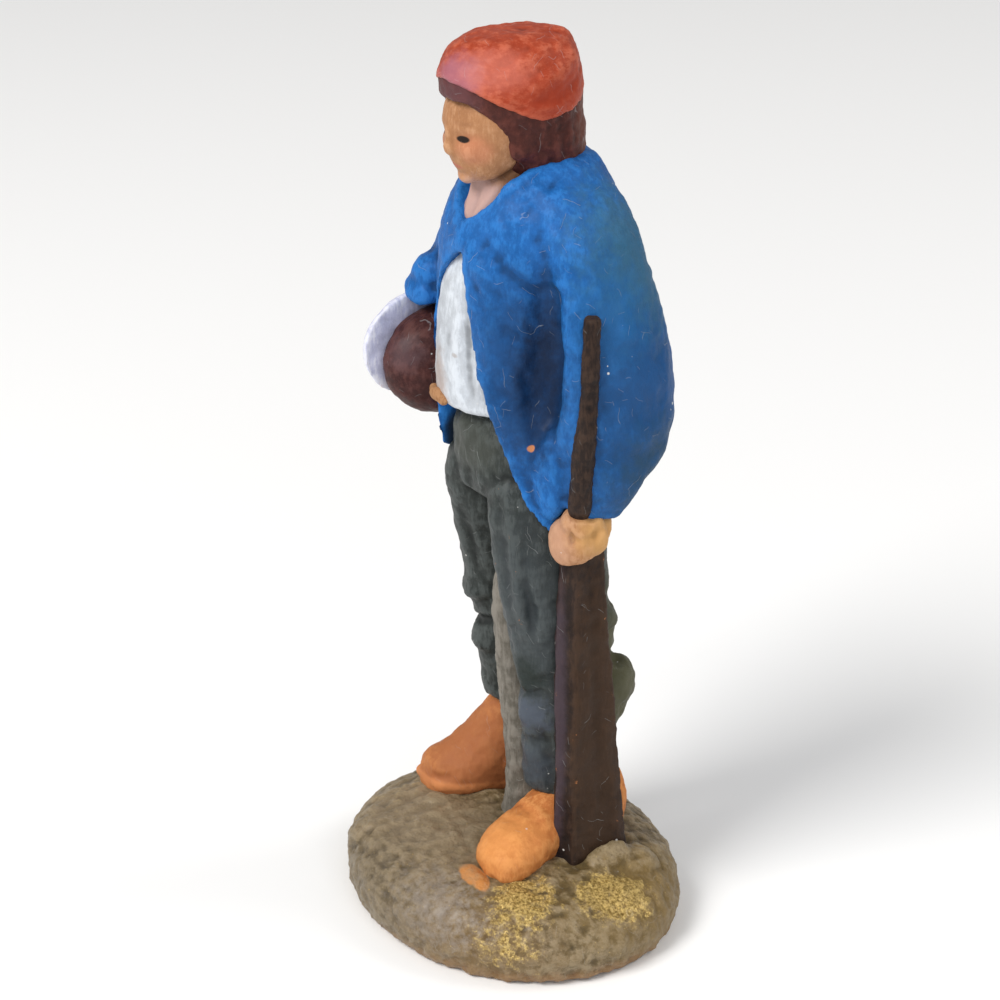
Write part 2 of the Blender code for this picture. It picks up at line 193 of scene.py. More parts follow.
class Clay:
    """A piece of clay on the bench, in millimetres in the figure's frame."""

    def __init__(self, name: str) -> None:
        """Start a piece with nothing in it.

        Args:
            name: The piece's name.
        """
        self.name = name
        self.lumps: list[bpy.types.Object] = []
        self.obj: bpy.types.Object | None = None

    def draw_out(self, rings: list[Ring], run: Run = Run.UP, sides: int = 20,
                 rounding: int = 2) -> "Clay":
        """Add a lump by drawing a disc out ring by ring.

        Args:
            rings: Centre x, y, z and the two half widths of each ring.
            run: Whether the rings lie level or stand upright.
            sides: Corners of a ring.
            rounding: Subdivision levels that round the lump.

        Returns:
            This piece.
        """
        clear_selection()
        x, y, z, wide, deep = rings[0]
        turn = (0.0, 0.0, 0.0) if run is Run.UP else (math.pi / 2, 0.0, 0.0)
        bpy.ops.mesh.primitive_circle_add(vertices=sides, radius=1.0, fill_type="NGON",
                                          location=(x, y, z), rotation=turn)
        lump = bpy.context.object
        bpy.ops.object.transform_apply(location=True, rotation=True, scale=True)
        bpy.ops.object.mode_set(mode="EDIT")
        bpy.ops.mesh.select_all(action="SELECT")
        self._widen(run, wide, deep, (x, y, z))
        for before, ring in zip(rings, rings[1:]):
            step = tuple(ring[k] - before[k] for k in range(3))
            bpy.ops.mesh.extrude_region_move(TRANSFORM_OT_translate={"value": step})
            self._widen(run, ring[3] / before[3], ring[4] / before[4], ring[:3])
        bpy.ops.mesh.select_all(action="SELECT")
        bpy.ops.mesh.normals_make_consistent(inside=False)
        bpy.ops.object.mode_set(mode="OBJECT")
        if rounding:
            self._modifier(lump, "SUBSURF", levels=rounding, render_levels=rounding)
        self.lumps.append(lump)
        return self

    @staticmethod
    def _widen(run: Run, wide: float, deep: float, centre: Point) -> None:
        """Scale the selected ring about its centre.

        Args:
            run: How the ring lies.
            wide: Factor across.
            deep: Factor the other way.
            centre: The ring's centre.
        """
        value = (wide, deep, 1.0) if run is Run.UP else (wide, 1.0, deep)
        bpy.ops.transform.resize(value=value, center_override=centre)

    def ball(self, centre: Point, radii: Point) -> "Clay":
        """Add a lump rolled between the palms.

        Args:
            centre: Its middle.
            radii: Its half sizes.

        Returns:
            This piece.
        """
        clear_selection()
        bpy.ops.mesh.primitive_ico_sphere_add(subdivisions=4, radius=1.0, location=centre)
        lump = bpy.context.object
        bpy.ops.object.transform_apply(location=True, rotation=True, scale=True)
        bpy.ops.object.mode_set(mode="EDIT")
        bpy.ops.mesh.select_all(action="SELECT")
        bpy.ops.transform.resize(value=radii, center_override=centre)
        bpy.ops.object.mode_set(mode="OBJECT")
        self.lumps.append(lump)
        return self

    def balls(self, *lumps: Lump) -> "Clay":
        """Add several rolled lumps.

        Args:
            lumps: The middle and the half sizes of each.

        Returns:
            This piece.
        """
        for centre, radii in lumps:
            self.ball(centre, radii)
        return self

    def block(self, plans: list[tuple[float, Outline]]) -> "Clay":
        """Add a faceted lump: an outline in plan drawn up through other outlines.

        Args:
            plans: Height and outline of each level, all with the same corner count.

        Returns:
            This piece.
        """
        clear_selection()
        count = len(plans[0][1])
        bpy.ops.mesh.primitive_circle_add(vertices=count, radius=1.0, fill_type="NGON")
        lump = bpy.context.object
        mesh = lump.data
        height, outline = plans[0]
        for vert, corner in zip(mesh.vertices, outline):
            vert.co = (*corner, height)
        for height, outline in plans[1:]:
            bpy.ops.object.mode_set(mode="EDIT")
            bpy.ops.mesh.extrude_region_move(TRANSFORM_OT_translate={"value": (0, 0, 0.01)})
            bpy.ops.object.mode_set(mode="OBJECT")
            top = [vert for vert in mesh.vertices if vert.select]
            for vert, corner in zip(top, outline):
                vert.co = (*corner, height)
        bpy.ops.object.mode_set(mode="EDIT")
        bpy.ops.mesh.select_all(action="SELECT")
        bpy.ops.mesh.normals_make_consistent(inside=False)
        bpy.ops.object.mode_set(mode="OBJECT")
        self.lumps.append(lump)
        return self

    @staticmethod
    def _modifier(obj: bpy.types.Object, kind: str, **settings: object) -> None:
        """Add a modifier with its settings and apply it.

        Args:
            obj: The object.
            kind: The modifier's type.
            settings: Its properties.
        """
        pick(obj)
        bpy.ops.object.modifier_add(type=kind)
        modifier = obj.modifiers[-1]
        for key, value in settings.items():
            setattr(modifier, key, value)
        bpy.ops.object.modifier_apply(modifier=modifier.name)

    def fuse(self, grain: float = 0.2, relax: int = 4) -> "Clay":
        """Press all lumps into one skin.

        Args:
            grain: Size of the skin's facets.
            relax: Smoothing passes over the joins.

        Returns:
            This piece.
        """
        if self.obj is not None:
            self.lumps.insert(0, self.obj)
        pick(self.lumps[0])
        for lump in self.lumps:
            lump.select_set(True)
        if len(self.lumps) > 1:
            bpy.ops.object.join()
        self.obj = self.lumps[0]
        self.lumps = []
        self._modifier(self.obj, "REMESH", mode="VOXEL", voxel_size=grain)
        if relax:
            self._modifier(self.obj, "SMOOTH", factor=0.5, iterations=relax)
        return self

    def cut(self, outline: Outline, along: Axis, start: float, end: float) -> "Clay":
        """Cut an outline out of the clay, right along one axis.

        Args:
            outline: Corners, as (x, z) for a cut along Y and (y, z) for a cut along X.
            along: The axis that the cut runs along.
            start: Where the cut starts on that axis.
            end: Where it ends.

        Returns:
            This piece.
        """
        clear_selection()
        bpy.ops.mesh.primitive_circle_add(vertices=len(outline), radius=1.0, fill_type="NGON")
        knife = bpy.context.object
        for vert, (first, height) in zip(knife.data.vertices, outline):
            vert.co = (first, start, height) if along is Axis.Y else (start, first, height)
        reach = (0, end - start, 0) if along is Axis.Y else (end - start, 0, 0)
        bpy.ops.object.mode_set(mode="EDIT")
        bpy.ops.mesh.select_all(action="SELECT")
        bpy.ops.mesh.extrude_region_move(TRANSFORM_OT_translate={"value": reach})
        bpy.ops.mesh.select_all(action="SELECT")
        bpy.ops.mesh.normals_make_consistent(inside=False)
        bpy.ops.object.mode_set(mode="OBJECT")
        self._modifier(self.obj, "BOOLEAN", operation="DIFFERENCE", solver="EXACT",
                       object=knife)
        bpy.data.objects.remove(knife, do_unlink=True)
        return self

    def read(self) -> tuple[np.ndarray, np.ndarray]:
        """Read the skin.

        Returns:
            Its points and its outward normals, one per row.
        """
        mesh = self.obj.data
        points = np.empty(len(mesh.vertices) * 3)
        normals = np.empty(len(mesh.vertices) * 3)
        mesh.vertices.foreach_get("co", points)
        mesh.vertex_normals.foreach_get("vector", normals)
        return points.reshape(-1, 3), normals.reshape(-1, 3)

    def write(self, points: np.ndarray) -> None:
        """Put moved points back into the skin.

        Args:
            points: The new places, one per row.
        """
        self.obj.data.vertices.foreach_set("co", points.ravel())
        self.obj.data.update()

    def tool(self, *strokes: Stroke) -> "Clay":
        """Draw a modelling tool over the skin.

        Args:
            strokes: The lines to raise or press in.

        Returns:
            This piece.
        """
        points, normals = self.read()
        moved = points.copy()
        for stroke in strokes:
            far, along = distance_to(points, smooth_line(stroke.path))
            weight = np.clip(1 - (far / stroke.radius) ** 2, 0, 1) ** stroke.sharp
            taper = 1.0 if len(stroke.path) == 1 else np.sin(
                math.pi * np.clip(along * 0.9 + 0.05, 0, 1)) ** 0.6
            moved += normals * (weight * taper * stroke.depth)[:, None]
        self.write(moved)
        return self

    def push(self, *pushes: Push) -> "Clay":
        """Push parts of the piece about.

        Args:
            pushes: The thumb pushes, in order.

        Returns:
            This piece.
        """
        points, _ = self.read()
        for push in pushes:
            far = np.linalg.norm(points - np.array(push.centre), axis=1)
            weight = np.clip(1 - (far / push.radius) ** 2, 0, 1) ** 2
            points += weight[:, None] * np.array(push.move)
        self.write(points)
        return self

    def press(self, *flats: tuple[Point, Point, float]) -> "Clay":
        """Press flat facets into the skin with a board.

        Args:
            flats: For each facet a point on it, its outward direction and how far it reaches.

        Returns:
            This piece.
        """
        points, _ = self.read()
        for centre, facing, reach in flats:
            normal = np.array(facing) / np.linalg.norm(facing)
            offset = points - np.array(centre)
            proud = np.maximum(offset @ normal, 0)
            near = np.clip(2.0 - 2.0 * np.linalg.norm(offset, axis=1) / reach, 0, 1)
            points -= (proud * near * BOARD_FIRMNESS)[:, None] * normal
        self.write(points)
        return self

    def dimple(self, size: float, depth: float, seed: int = 0) -> "Clay":
        """Make the skin uneven, as fingers leave it.

        Args:
            size: Width of a dimple.
            depth: Full height between dimple and bump.
            seed: Which pattern.

        Returns:
            This piece.
        """
        pattern = bpy.data.textures.new(f"{self.name}_dimples_{seed}", type="CLOUDS")
        pattern.noise_scale = size
        pattern.noise_depth = 2
        shift = seed * PATTERN_STEP
        points, _ = self.read()
        self.write(points + shift)
        self._modifier(self.obj, "DISPLACE", texture=pattern, strength=depth, mid_level=0.5,
                       texture_coords="LOCAL")
        points, _ = self.read()
        self.write(points - shift)
        return self

    def relax(self, rounds: int = 2, factor: float = 0.5) -> "Clay":
        """Wipe the skin with a wet brush.

        Args:
            rounds: Smoothing passes.
            factor: How strong each is.

        Returns:
            This piece.
        """
        self._modifier(self.obj, "SMOOTH", factor=factor, iterations=rounds)
        return self

    def turn(self, angle: float, axis: Axis, centre: Point) -> "Clay":
        """Turn the whole piece.

        Args:
            angle: Degrees, by the right-hand rule.
            axis: What it turns about.
            centre: A point on the axis.

        Returns:
            This piece.
        """
        points, _ = self.read()
        a, b = (axis.value + 1) % 3, (axis.value + 2) % 3
        rad = math.radians(angle)
        one = points[:, a] - centre[a]
        two = points[:, b] - centre[b]
        points[:, a] = centre[a] + one * math.cos(rad) - two * math.sin(rad)
        points[:, b] = centre[b] + one * math.sin(rad) + two * math.cos(rad)
        self.write(points)
        return self

    def mark(self, name: str, values: np.ndarray) -> None:
        """Keep a number for each point of the skin for the paint to read.

        Args:
            name: The attribute's name.
            values: One number per point.
        """
        layer = self.obj.data.attributes.new(name, "FLOAT", "POINT")
        layer.data.foreach_set("value", values.astype(np.float32))

    def mark_line(self, name: str, path: tuple[Point, ...], radius: float) -> "Clay":
        """Mark the skin near a line, 1 on it and 0 past the radius.

        Args:
            name: The attribute's name.
            path: The line.
            radius: How far the mark reaches.

        Returns:
            This piece.
        """
        points, _ = self.read()
        far, _ = distance_to(points, smooth_line(path))
        self.mark(name, np.clip(1 - far / radius, 0, 1))
        return self

    def mark_relief(self, rounds: int = 24, scale: float = 0.09) -> None:
        """Keep how far each point stands over its surroundings, -1 in creases to 1 on ridges.

        Args:
            rounds: How far the surroundings reach, in skin facets.
            scale: The height in millimetres that counts as 1.
        """
        points, normals = self.read()
        edges = np.empty(len(self.obj.data.edges) * 2, np.int64)
        self.obj.data.edges.foreach_get("vertices", edges)
        first, second = edges.reshape(-1, 2).T
        count = np.bincount(edges, minlength=len(points))[:, None].astype(float)
        count[count == 0] = 1
        level = points.copy()
        for _ in range(rounds):
            total = np.zeros_like(level)
            for axis in range(3):
                total[:, axis] = (np.bincount(first, level[second, axis], len(points))
                                  + np.bincount(second, level[first, axis], len(points)))
            level = 0.35 * level + 0.65 * total / count
        height = ((points - level) * normals).sum(1)
        self.mark("relief", np.clip(height / scale, -1, 1))

    def fire(self, paint: "Paint", nodes: tuple[str, ...], slot: str) -> bpy.types.Object:
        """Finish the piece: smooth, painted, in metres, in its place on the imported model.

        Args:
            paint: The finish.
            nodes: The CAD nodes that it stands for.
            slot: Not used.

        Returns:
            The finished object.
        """
        self.mark_relief()
        obj = self.obj
        obj.name = self.name
        obj.data.name = self.name
        obj.scale = (MM, MM, MM)
        obj.location = Vector(FIGURE_AT) * MM
        pick(obj)
        bpy.ops.object.transform_apply(location=True, rotation=True, scale=True)
        bpy.ops.object.shade_smooth()
        obj.data.materials.clear()
        obj.data.materials.append(paint.material())
        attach(obj, ROOT)
        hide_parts(*nodes)
        log.info("%s: %d faces", self.name, len(obj.data.polygons))
        return obj


class Sum:
    """A shader number: a socket or a constant that Python arithmetic works on."""

    def __init__(self, desk: "Desk", source: object) -> None:
        """Wrap a socket or a number.

        Args:
            desk: The material being mixed.
            source: An output socket or a float.
        """
        self.desk = desk
        self.source = source

    def _math(self, operation: str, *others: object) -> "Sum":
        """Add one Math node.

        Args:
            operation: The node's operation.
            others: The further inputs.

        Returns:
            Its result.
        """
        return self.desk.node("ShaderNodeMath", {"operation": operation}, [self, *others])

    def __add__(self, other: object) -> "Sum":
        """Add."""
        return self._math("ADD", other)

    def __radd__(self, other: object) -> "Sum":
        """Add, reflected."""
        return self + other

    def __sub__(self, other: object) -> "Sum":
        """Subtract."""
        return self._math("SUBTRACT", other)

    def __rsub__(self, other: object) -> "Sum":
        """Subtract from a number."""
        return Sum(self.desk, other)._math("SUBTRACT", self)

    def __mul__(self, other: object) -> "Sum":
        """Multiply."""
        return self._math("MULTIPLY", other)

    def __rmul__(self, other: object) -> "Sum":
        """Multiply, reflected."""
        return self * other

    def __abs__(self) -> "Sum":
        """Drop the sign."""
        return self._math("ABSOLUTE")

    def clip(self) -> "Sum":
        """Keep within 0 and 1."""
        return self._math("MINIMUM", 1.0)._math("MAXIMUM", 0.0)

    def most(self, other: object) -> "Sum":
        """Take the larger one."""
        return self._math("MAXIMUM", other)

    def above(self, level: float, soft: float) -> "Sum":
        """Step up smoothly round a level.

        Args:
            level: The middle of the step.
            soft: Half the width of the step.

        Returns:
            0 well under the level and 1 well over it.
        """
        return self.desk.node("ShaderNodeMapRange", {"interpolation_type": "SMOOTHSTEP"},
                              [self, level - soft, level + soft, 0.0, 1.0])

    def below(self, level: float, soft: float) -> "Sum":
        """Step down smoothly round a level; the reverse of above."""
        return 1.0 - self.above(level, soft)


class Desk:
    """The node tree of one material, with positions in millimetres on the finished figure."""

    def __init__(self, name: str) -> None:
        """Open a new material.

        Args:
            name: The material's name.
        """
        self.made = bpy.data.materials.new(name)
        self.made.use_nodes = True
        self.tree = self.made.node_tree
        self.shader = self.tree.nodes["Principled BSDF"]
        coords = self.tree.nodes.new("ShaderNodeTexCoord")
        self.place = self.vector("MULTIPLY_ADD", coords.outputs["Object"], (1000.0,) * 3,
                                 tuple(-v for v in FIGURE_AT))

    def _feed(self, socket: bpy.types.NodeSocket, value: object) -> None:
        """Link or set one input.

        Args:
            socket: The input.
            value: A wrapped number, a socket, or a constant.
        """
        if isinstance(value, Sum):
            value = value.source
        if isinstance(value, bpy.types.NodeSocket):
            self.tree.links.new(value, socket)
        elif value is not None:
            if isinstance(value, tuple) and socket.type == "RGBA" and len(value) == 3:
                value = (*value, 1.0)
            socket.default_value = value

    def node(self, kind: str, settings: dict[str, object], inputs: list[object],
             output: int | str = 0) -> Sum:
        """Add a node.

        Args:
            kind: The node's type.
            settings: Its properties, set first.
            inputs: Values or links of its sockets in order; None leaves one alone.
            output: Which output to return.

        Returns:
            The output, wrapped.
        """
        made = self.tree.nodes.new(kind)
        for key, value in settings.items():
            setattr(made, key, value)
        for socket, value in zip(made.inputs, inputs):
            self._feed(socket, value)
        return Sum(self, made.outputs[output])

    def vector(self, operation: str, *inputs: object) -> bpy.types.NodeSocket:
        """Add a Vector Math node and return its vector."""
        return self.node("ShaderNodeVectorMath", {"operation": operation}, list(inputs)).source

    def length(self, *inputs: object) -> Sum:
        """Return the length of a vector."""
        return self.node("ShaderNodeVectorMath", {"operation": "LENGTH"}, list(inputs), "Value")

    def noise(self, scale: float, detail: float = 4.0, rough: float = 0.55,
              stretch: Point = (1.0, 1.0, 1.0), shift: float = 0.0) -> Sum:
        """Add a cloudy pattern.

        Args:
            scale: Lumps per millimetre.
            detail: Octaves.
            rough: How strong the fine ones are.
            stretch: Factors on the three axes; a small one draws the pattern out.
            shift: Moves the pattern, for another one like it.

        Returns:
            The pattern, about 0.5 on average.
        """
        at = self.vector("MULTIPLY_ADD", self.place, stretch, (shift,) * 3)
        return self.node("ShaderNodeTexNoise", {"noise_dimensions": "3D"},
                         [at, None, scale, detail, rough])

    def cells(self, scale: float, shift: float) -> Sum:
        """Add a pattern of scattered points.

        Args:
            scale: Points per millimetre.
            shift: Moves the pattern.

        Returns:
            How far the nearest point is.
        """
        at = self.vector("MULTIPLY_ADD", self.place, (1.0,) * 3, (shift,) * 3)
        return self.node("ShaderNodeTexVoronoi", {"feature": "F1"}, [at, None, scale], "Distance")

    def fibres(self, scale: float, reach: float, shift: float) -> Sum:
        """Scatter short, slightly bent hairs.

        Args:
            scale: Hairs per millimetre.
            reach: Half the length of a hair.
            shift: Moves the pattern.

        Returns:
            The mask of the hairs.
        """
        at = self.vector("MULTIPLY_ADD", self.place, (1.0,) * 3, (shift,) * 3)
        cell = self.node("ShaderNodeTexVoronoi", {"feature": "F1"}, [at, None, scale], "Color")
        outputs = cell.source.node.outputs
        offset = self.vector("SUBTRACT", at, outputs["Position"])
        across = self.vector("NORMALIZE", self.vector("SUBTRACT", cell, (0.5, 0.5, 0.5)))
        aside = self.node("ShaderNodeVectorMath", {"operation": "DOT_PRODUCT"},
                          [offset, across], "Value")
        aside = aside + (self.noise(1.1, 1.0, 0.5, shift=shift + 3.0) - 0.5) * 0.5
        kept = self.length(cell).above(1.20, 0.02)
        return (abs(aside).below(0.012, 0.013)
                * self.length(offset).below(reach, 0.06) * kept)

    def attribute(self, name: str) -> Sum:
        """Read a number kept on the skin."""
        return self.node("ShaderNodeAttribute", {"attribute_name": name}, [], "Fac")

    def blend(self, factor: object, under: object, over: object) -> Sum:
        """Lay one colour over another.

        Args:
            factor: How much of the upper one shows.
            under: The lower colour.
            over: The upper colour.

        Returns:
            The colour.
        """
        made = self.tree.nodes.new("ShaderNodeMix")
        made.data_type = "RGBA"
        for key, value in ((0, factor), (6, under), (7, over)):
            self._feed(made.inputs[key], value)
        return Sum(self, made.outputs[2])

    def finish(self, colour: Sum, roughness: object, height: Sum, depth: float,
               metallic: object = 0.0, sheen: float = 0.0) -> bpy.types.Material:
        """Plug everything into the shader.

        Args:
            colour: The surface colour.
            roughness: Its roughness.
            height: The bump pattern, 0 to 1.
            depth: Height of the bump in millimetres.
            metallic: How metallic it is.
            sheen: Weight of a clear coat's gloss.

        Returns:
            The material.
        """
        self._feed(self.shader.inputs["Base Color"], colour)
        self._feed(self.shader.inputs["Roughness"], roughness)
        self._feed(self.shader.inputs["Metallic"], metallic)
        self.shader.inputs["Coat Weight"].default_value = sheen
        self.shader.inputs["Coat Roughness"].default_value = 0.35
        self.shader.inputs["Specular IOR Level"].default_value = 0.13
        bump = self.tree.nodes.new("ShaderNodeBump")
        bump.inputs["Strength"].default_value = 1.0
        bump.inputs["Distance"].default_value = depth * MM
        self._feed(bump.inputs["Height"], height)
        self.tree.links.new(bump.outputs["Normal"], self.shader.inputs["Normal"])
        return self.made


@dataclass(frozen=True)
class Dab:
    """A patch of another colour brushed on round one place.

    Centre and radii are in millimetres.  Edge is how softly it ends and ragged how uneven its
    outline is, both as shares of the radii; grain is the raggedness's lumps per millimetre.
    Besides brushed-on colours, dabs lay painted shade, painted highlights and painted sheen.
    """

    centre: Point
    radii: Point
    colour: Rgb
    strength: float = 0.8
    edge: float = 0.35
    ragged: float = 0.35
    grain: float = 1.2


@dataclass(frozen=True)
class Paint:
    """Thin poster paint over fired clay, with brush marks, wear, dust and lint.

    Deep, body and bright are the paint's three tones and clay is what shows where it is worn; a
    high wear value leaves less of it bare.  The deep tone also darkens the creases as painted
    shade, and the ridges come out lighter as painted highlight.  Brush is how finely the brush
    marks repeat on each axis, contrast how strongly the tones part, gloss the weight of the clear
    coat and bump the height of the paint's own relief in millimetres.  Bare names a mark along
    which it is rubbed off.
    """

    name: str
    deep: Rgb
    body: Rgb
    bright: Rgb
    clay: Rgb = (0.50, 0.19, 0.07)
    brush: Point = (2.4, 2.4, 0.5)
    contrast: float = 0.5
    wear: float = 0.75
    dust: float = 1.0
    gloss: float = 0.0
    roughness: float = 0.62
    bump: float = 0.05
    dabs: tuple[Dab, ...] = ()
    bare: str = ""

    def material(self) -> bpy.types.Material:
        """Mix the paint, or return it if it's mixed already."""
        made = bpy.data.materials.get(self.name)
        return made if made is not None else self.mix(Desk(self.name))

    def mix(self, desk: Desk) -> bpy.types.Material:
        """Build the layers: ground colour, brush marks, dabs, wear, dust and lint.

        Args:
            desk: The material's desk.

        Returns:
            The material.
        """
        relief = desk.attribute("relief")
        broad = desk.noise(0.28, 3.0, 0.5)
        patch = desk.noise(0.9, 5.0, 0.6, shift=11.0)
        hair = desk.noise(1.6, 5.0, 0.7, self.brush, 23.0)
        grit = desk.noise(7.0, 4.0, 0.7, shift=5.0)
        # Ground colour: random mottling, with painted shade in the creases and painted highlight
        # on the ridges through the relief.
        colour = desk.blend(((broad - 0.5) * 1.6 * self.contrast + (patch - 0.5) * 1.6 + 0.5
                             + relief * 0.22).clip(), self.deep, self.body)
        # Lighter brush marks, partly a painted highlight on the ridges through the relief.
        light = (hair * 0.62 + patch * 0.38 + relief * 0.16).above(0.60, 0.09)
        colour = desk.blend(light * self.contrast, colour, self.bright)
        colour = desk.blend((hair.below(0.42, 0.08)) * 0.35, colour, self.deep)
        colour = desk.blend(grit.above(0.60, 0.06) * (0.4 * self.contrast), colour, self.bright)
        # Painted shade: the creases darkened with a deeper tone.
        colour = desk.blend(relief.below(-0.45, 0.4) * 0.62, colour,
                            tuple(v * 0.32 for v in self.deep))
        # Dabs: brushed-on colours, and also painted shade, painted highlights and painted sheen.
        for dab in self.dabs:
            colour = desk.blend(self.dab_mask(desk, dab), colour, dab.colour)
        worn = ((relief + (patch - 0.5) * 1.5 + (grit - 0.5) * 0.9).above(
            self.wear + 0.22, 0.08)) * 0.85
        if self.bare:
            kept = desk.attribute(self.bare)
            worn = worn.most((kept + (patch - 0.5) * 0.9 + (grit - 0.5) * 0.4).above(0.55, 0.12)
                             * 0.6)
        colour = desk.blend(worn, colour, self.clay)
        specks, lint = self.litter(desk)
        dusty = ((broad + grit * 0.35).above(0.66, 0.16) * 0.008 * self.dust)
        colour = desk.blend(dusty, colour, DUST)
        colour = desk.blend(specks * 0.8 * self.dust, colour, SPECK)
        colour = desk.blend(lint * 0.30 * self.dust, colour, LINT)
        rough = (self.roughness + (patch - 0.5) * 0.35 + worn * 0.2 + specks * 0.2).clip()
        height = (hair * 0.5 + grit * 0.3 + patch * 0.5 - worn * 0.25 + lint * 0.25
                  + specks * 0.3)
        return desk.finish(colour, rough, height, self.bump, sheen=self.gloss)

    def dab_mask(self, desk: Desk, dab: Dab) -> Sum:
        """Shape one dab.

        Args:
            desk: The material's desk.
            dab: Which dab.

        Returns:
            How much of it shows.
        """
        inverse = tuple(1.0 / radius for radius in dab.radii)
        offset = tuple(-c / r for c, r in zip(dab.centre, dab.radii))
        far = desk.length(desk.vector("MULTIPLY_ADD", desk.place, inverse, offset))
        if dab.ragged:
            far = far + (desk.noise(dab.grain, 4.0, 0.65, shift=dab.centre[2]) - 0.5) * (
                2.4 * dab.ragged)
        return far.below(1.0, dab.edge) * dab.strength

    @staticmethod
    def litter(desk: Desk) -> tuple[Sum, Sum]:
        """Scatter dust specks and lint fibres.

        Args:
            desk: The material's desk.

        Returns:
            The masks of the specks and of the fibres.
        """
        near = desk.cells(0.85, 3.0)
        pick_some = desk.noise(0.75, 2.0, 0.5, shift=41.0)
        size = (pick_some - 0.52) * 0.5
        specks = (size.clip() - near).above(0.0, 0.02)
        return specks, desk.fibres(0.66, 0.75, 61.0).most(desk.fibres(1.3, 0.36, 83.0) * 0.7)


@dataclass(frozen=True)
class EarthPaint(Paint):
    """Olive earth paint with gold powder rubbed over the front of the mound.

    Each dab of gold says where the powder lies and how thickly; its own colour isn't used.
    """

    gold: tuple[Dab, ...] = ()

    def mix(self, desk: Desk) -> bpy.types.Material:
        """Build earth colours, bare clay at the foot, gold powder and litter.

        Args:
            desk: The material's desk.

        Returns:
            The material.
        """
        relief = desk.attribute("relief")
        broad = desk.noise(0.22, 4.0, 0.55)
        patch = desk.noise(0.8, 5.0, 0.62, shift=11.0)
        streak = desk.noise(1.2, 5.0, 0.7, self.brush, 23.0)
        grit = desk.noise(4.5, 5.0, 0.75, shift=5.0)
        # Ground colour: random mottling, with painted shade in the creases and painted highlight
        # on the ridges through the relief.
        colour = desk.blend(((broad - 0.5) * 1.8 + (patch - 0.5) * 1.2 + 0.5
                             + relief * 0.2).clip(), self.deep, self.body)
        # Lighter brush streaks and grit, partly a painted highlight on the ridges through the
        # relief.
        colour = desk.blend((streak * 0.6 + grit * 0.4 + relief * 0.12).above(0.57, 0.14)
                            * self.contrast, colour, self.bright)
        # Painted shade: the creases darkened.
        colour = desk.blend(relief.below(-0.5, 0.4) * 0.5, colour,
                            tuple(v * 0.4 for v in self.deep))
        for dab in self.dabs:
            colour = desk.blend(self.dab_mask(desk, dab), colour, dab.colour)
        powder = Sum(desk, 0.0)
        for dab in self.gold:
            powder = powder.most(self.dab_mask(desk, dab))
        grain = (grit * 0.55 + patch * 0.35 + desk.noise(11.0, 3.0, 0.6, shift=9.0) * 0.35
                 + relief * 0.14)
        powder = (powder * 1.1 + grain - 0.62).above(0.52, 0.16)
        flecks = desk.cells(2.6, 8.0).below(0.12, 0.03) * (
            desk.noise(0.7, 2.0, 0.5, shift=19.0).above(0.55, 0.06)) * 0.7
        powder = powder.most(flecks)
        # Painted glints: bright gold scattered by a fine noise over the dark gold of the powder.
        gold_and_glints = desk.blend(grit.above(0.5, 0.12), GOLD_SHADE, GOLD_SHINE)
        colour = desk.blend(powder, colour, gold_and_glints)
        specks, lint = self.litter(desk)
        colour = desk.blend(specks * 0.5 * self.dust, colour, EARTH_SPECK)
        colour = desk.blend(lint * 0.35 * self.dust, colour, EARTH_LINT)
        rough = (self.roughness + (patch - 0.5) * 0.4 - powder * 0.2).clip()
        height = grit * 0.8 + patch * 0.6 + streak * 0.4
        return desk.finish(colour, rough, height, self.bump, powder * 0.6, self.gloss)


SKIN = Paint("painted_skin", deep=(0.28, 0.125, 0.055), body=(0.44, 0.215, 0.100),
             bright=(0.58, 0.34, 0.20), contrast=0.45, wear=1.3, dust=0.5, bump=0.03,
             roughness=0.55,
             dabs=(Dab((0.0, -3.4, 51.2), (3.4, 3.0, 2.3), (0.47, 0.32, 0.30), 0.8),
                   Dab((-0.8, -5.2, 53.9), (2.2, 1.4, 1.0), (0.42, 0.20, 0.09), 0.5)))


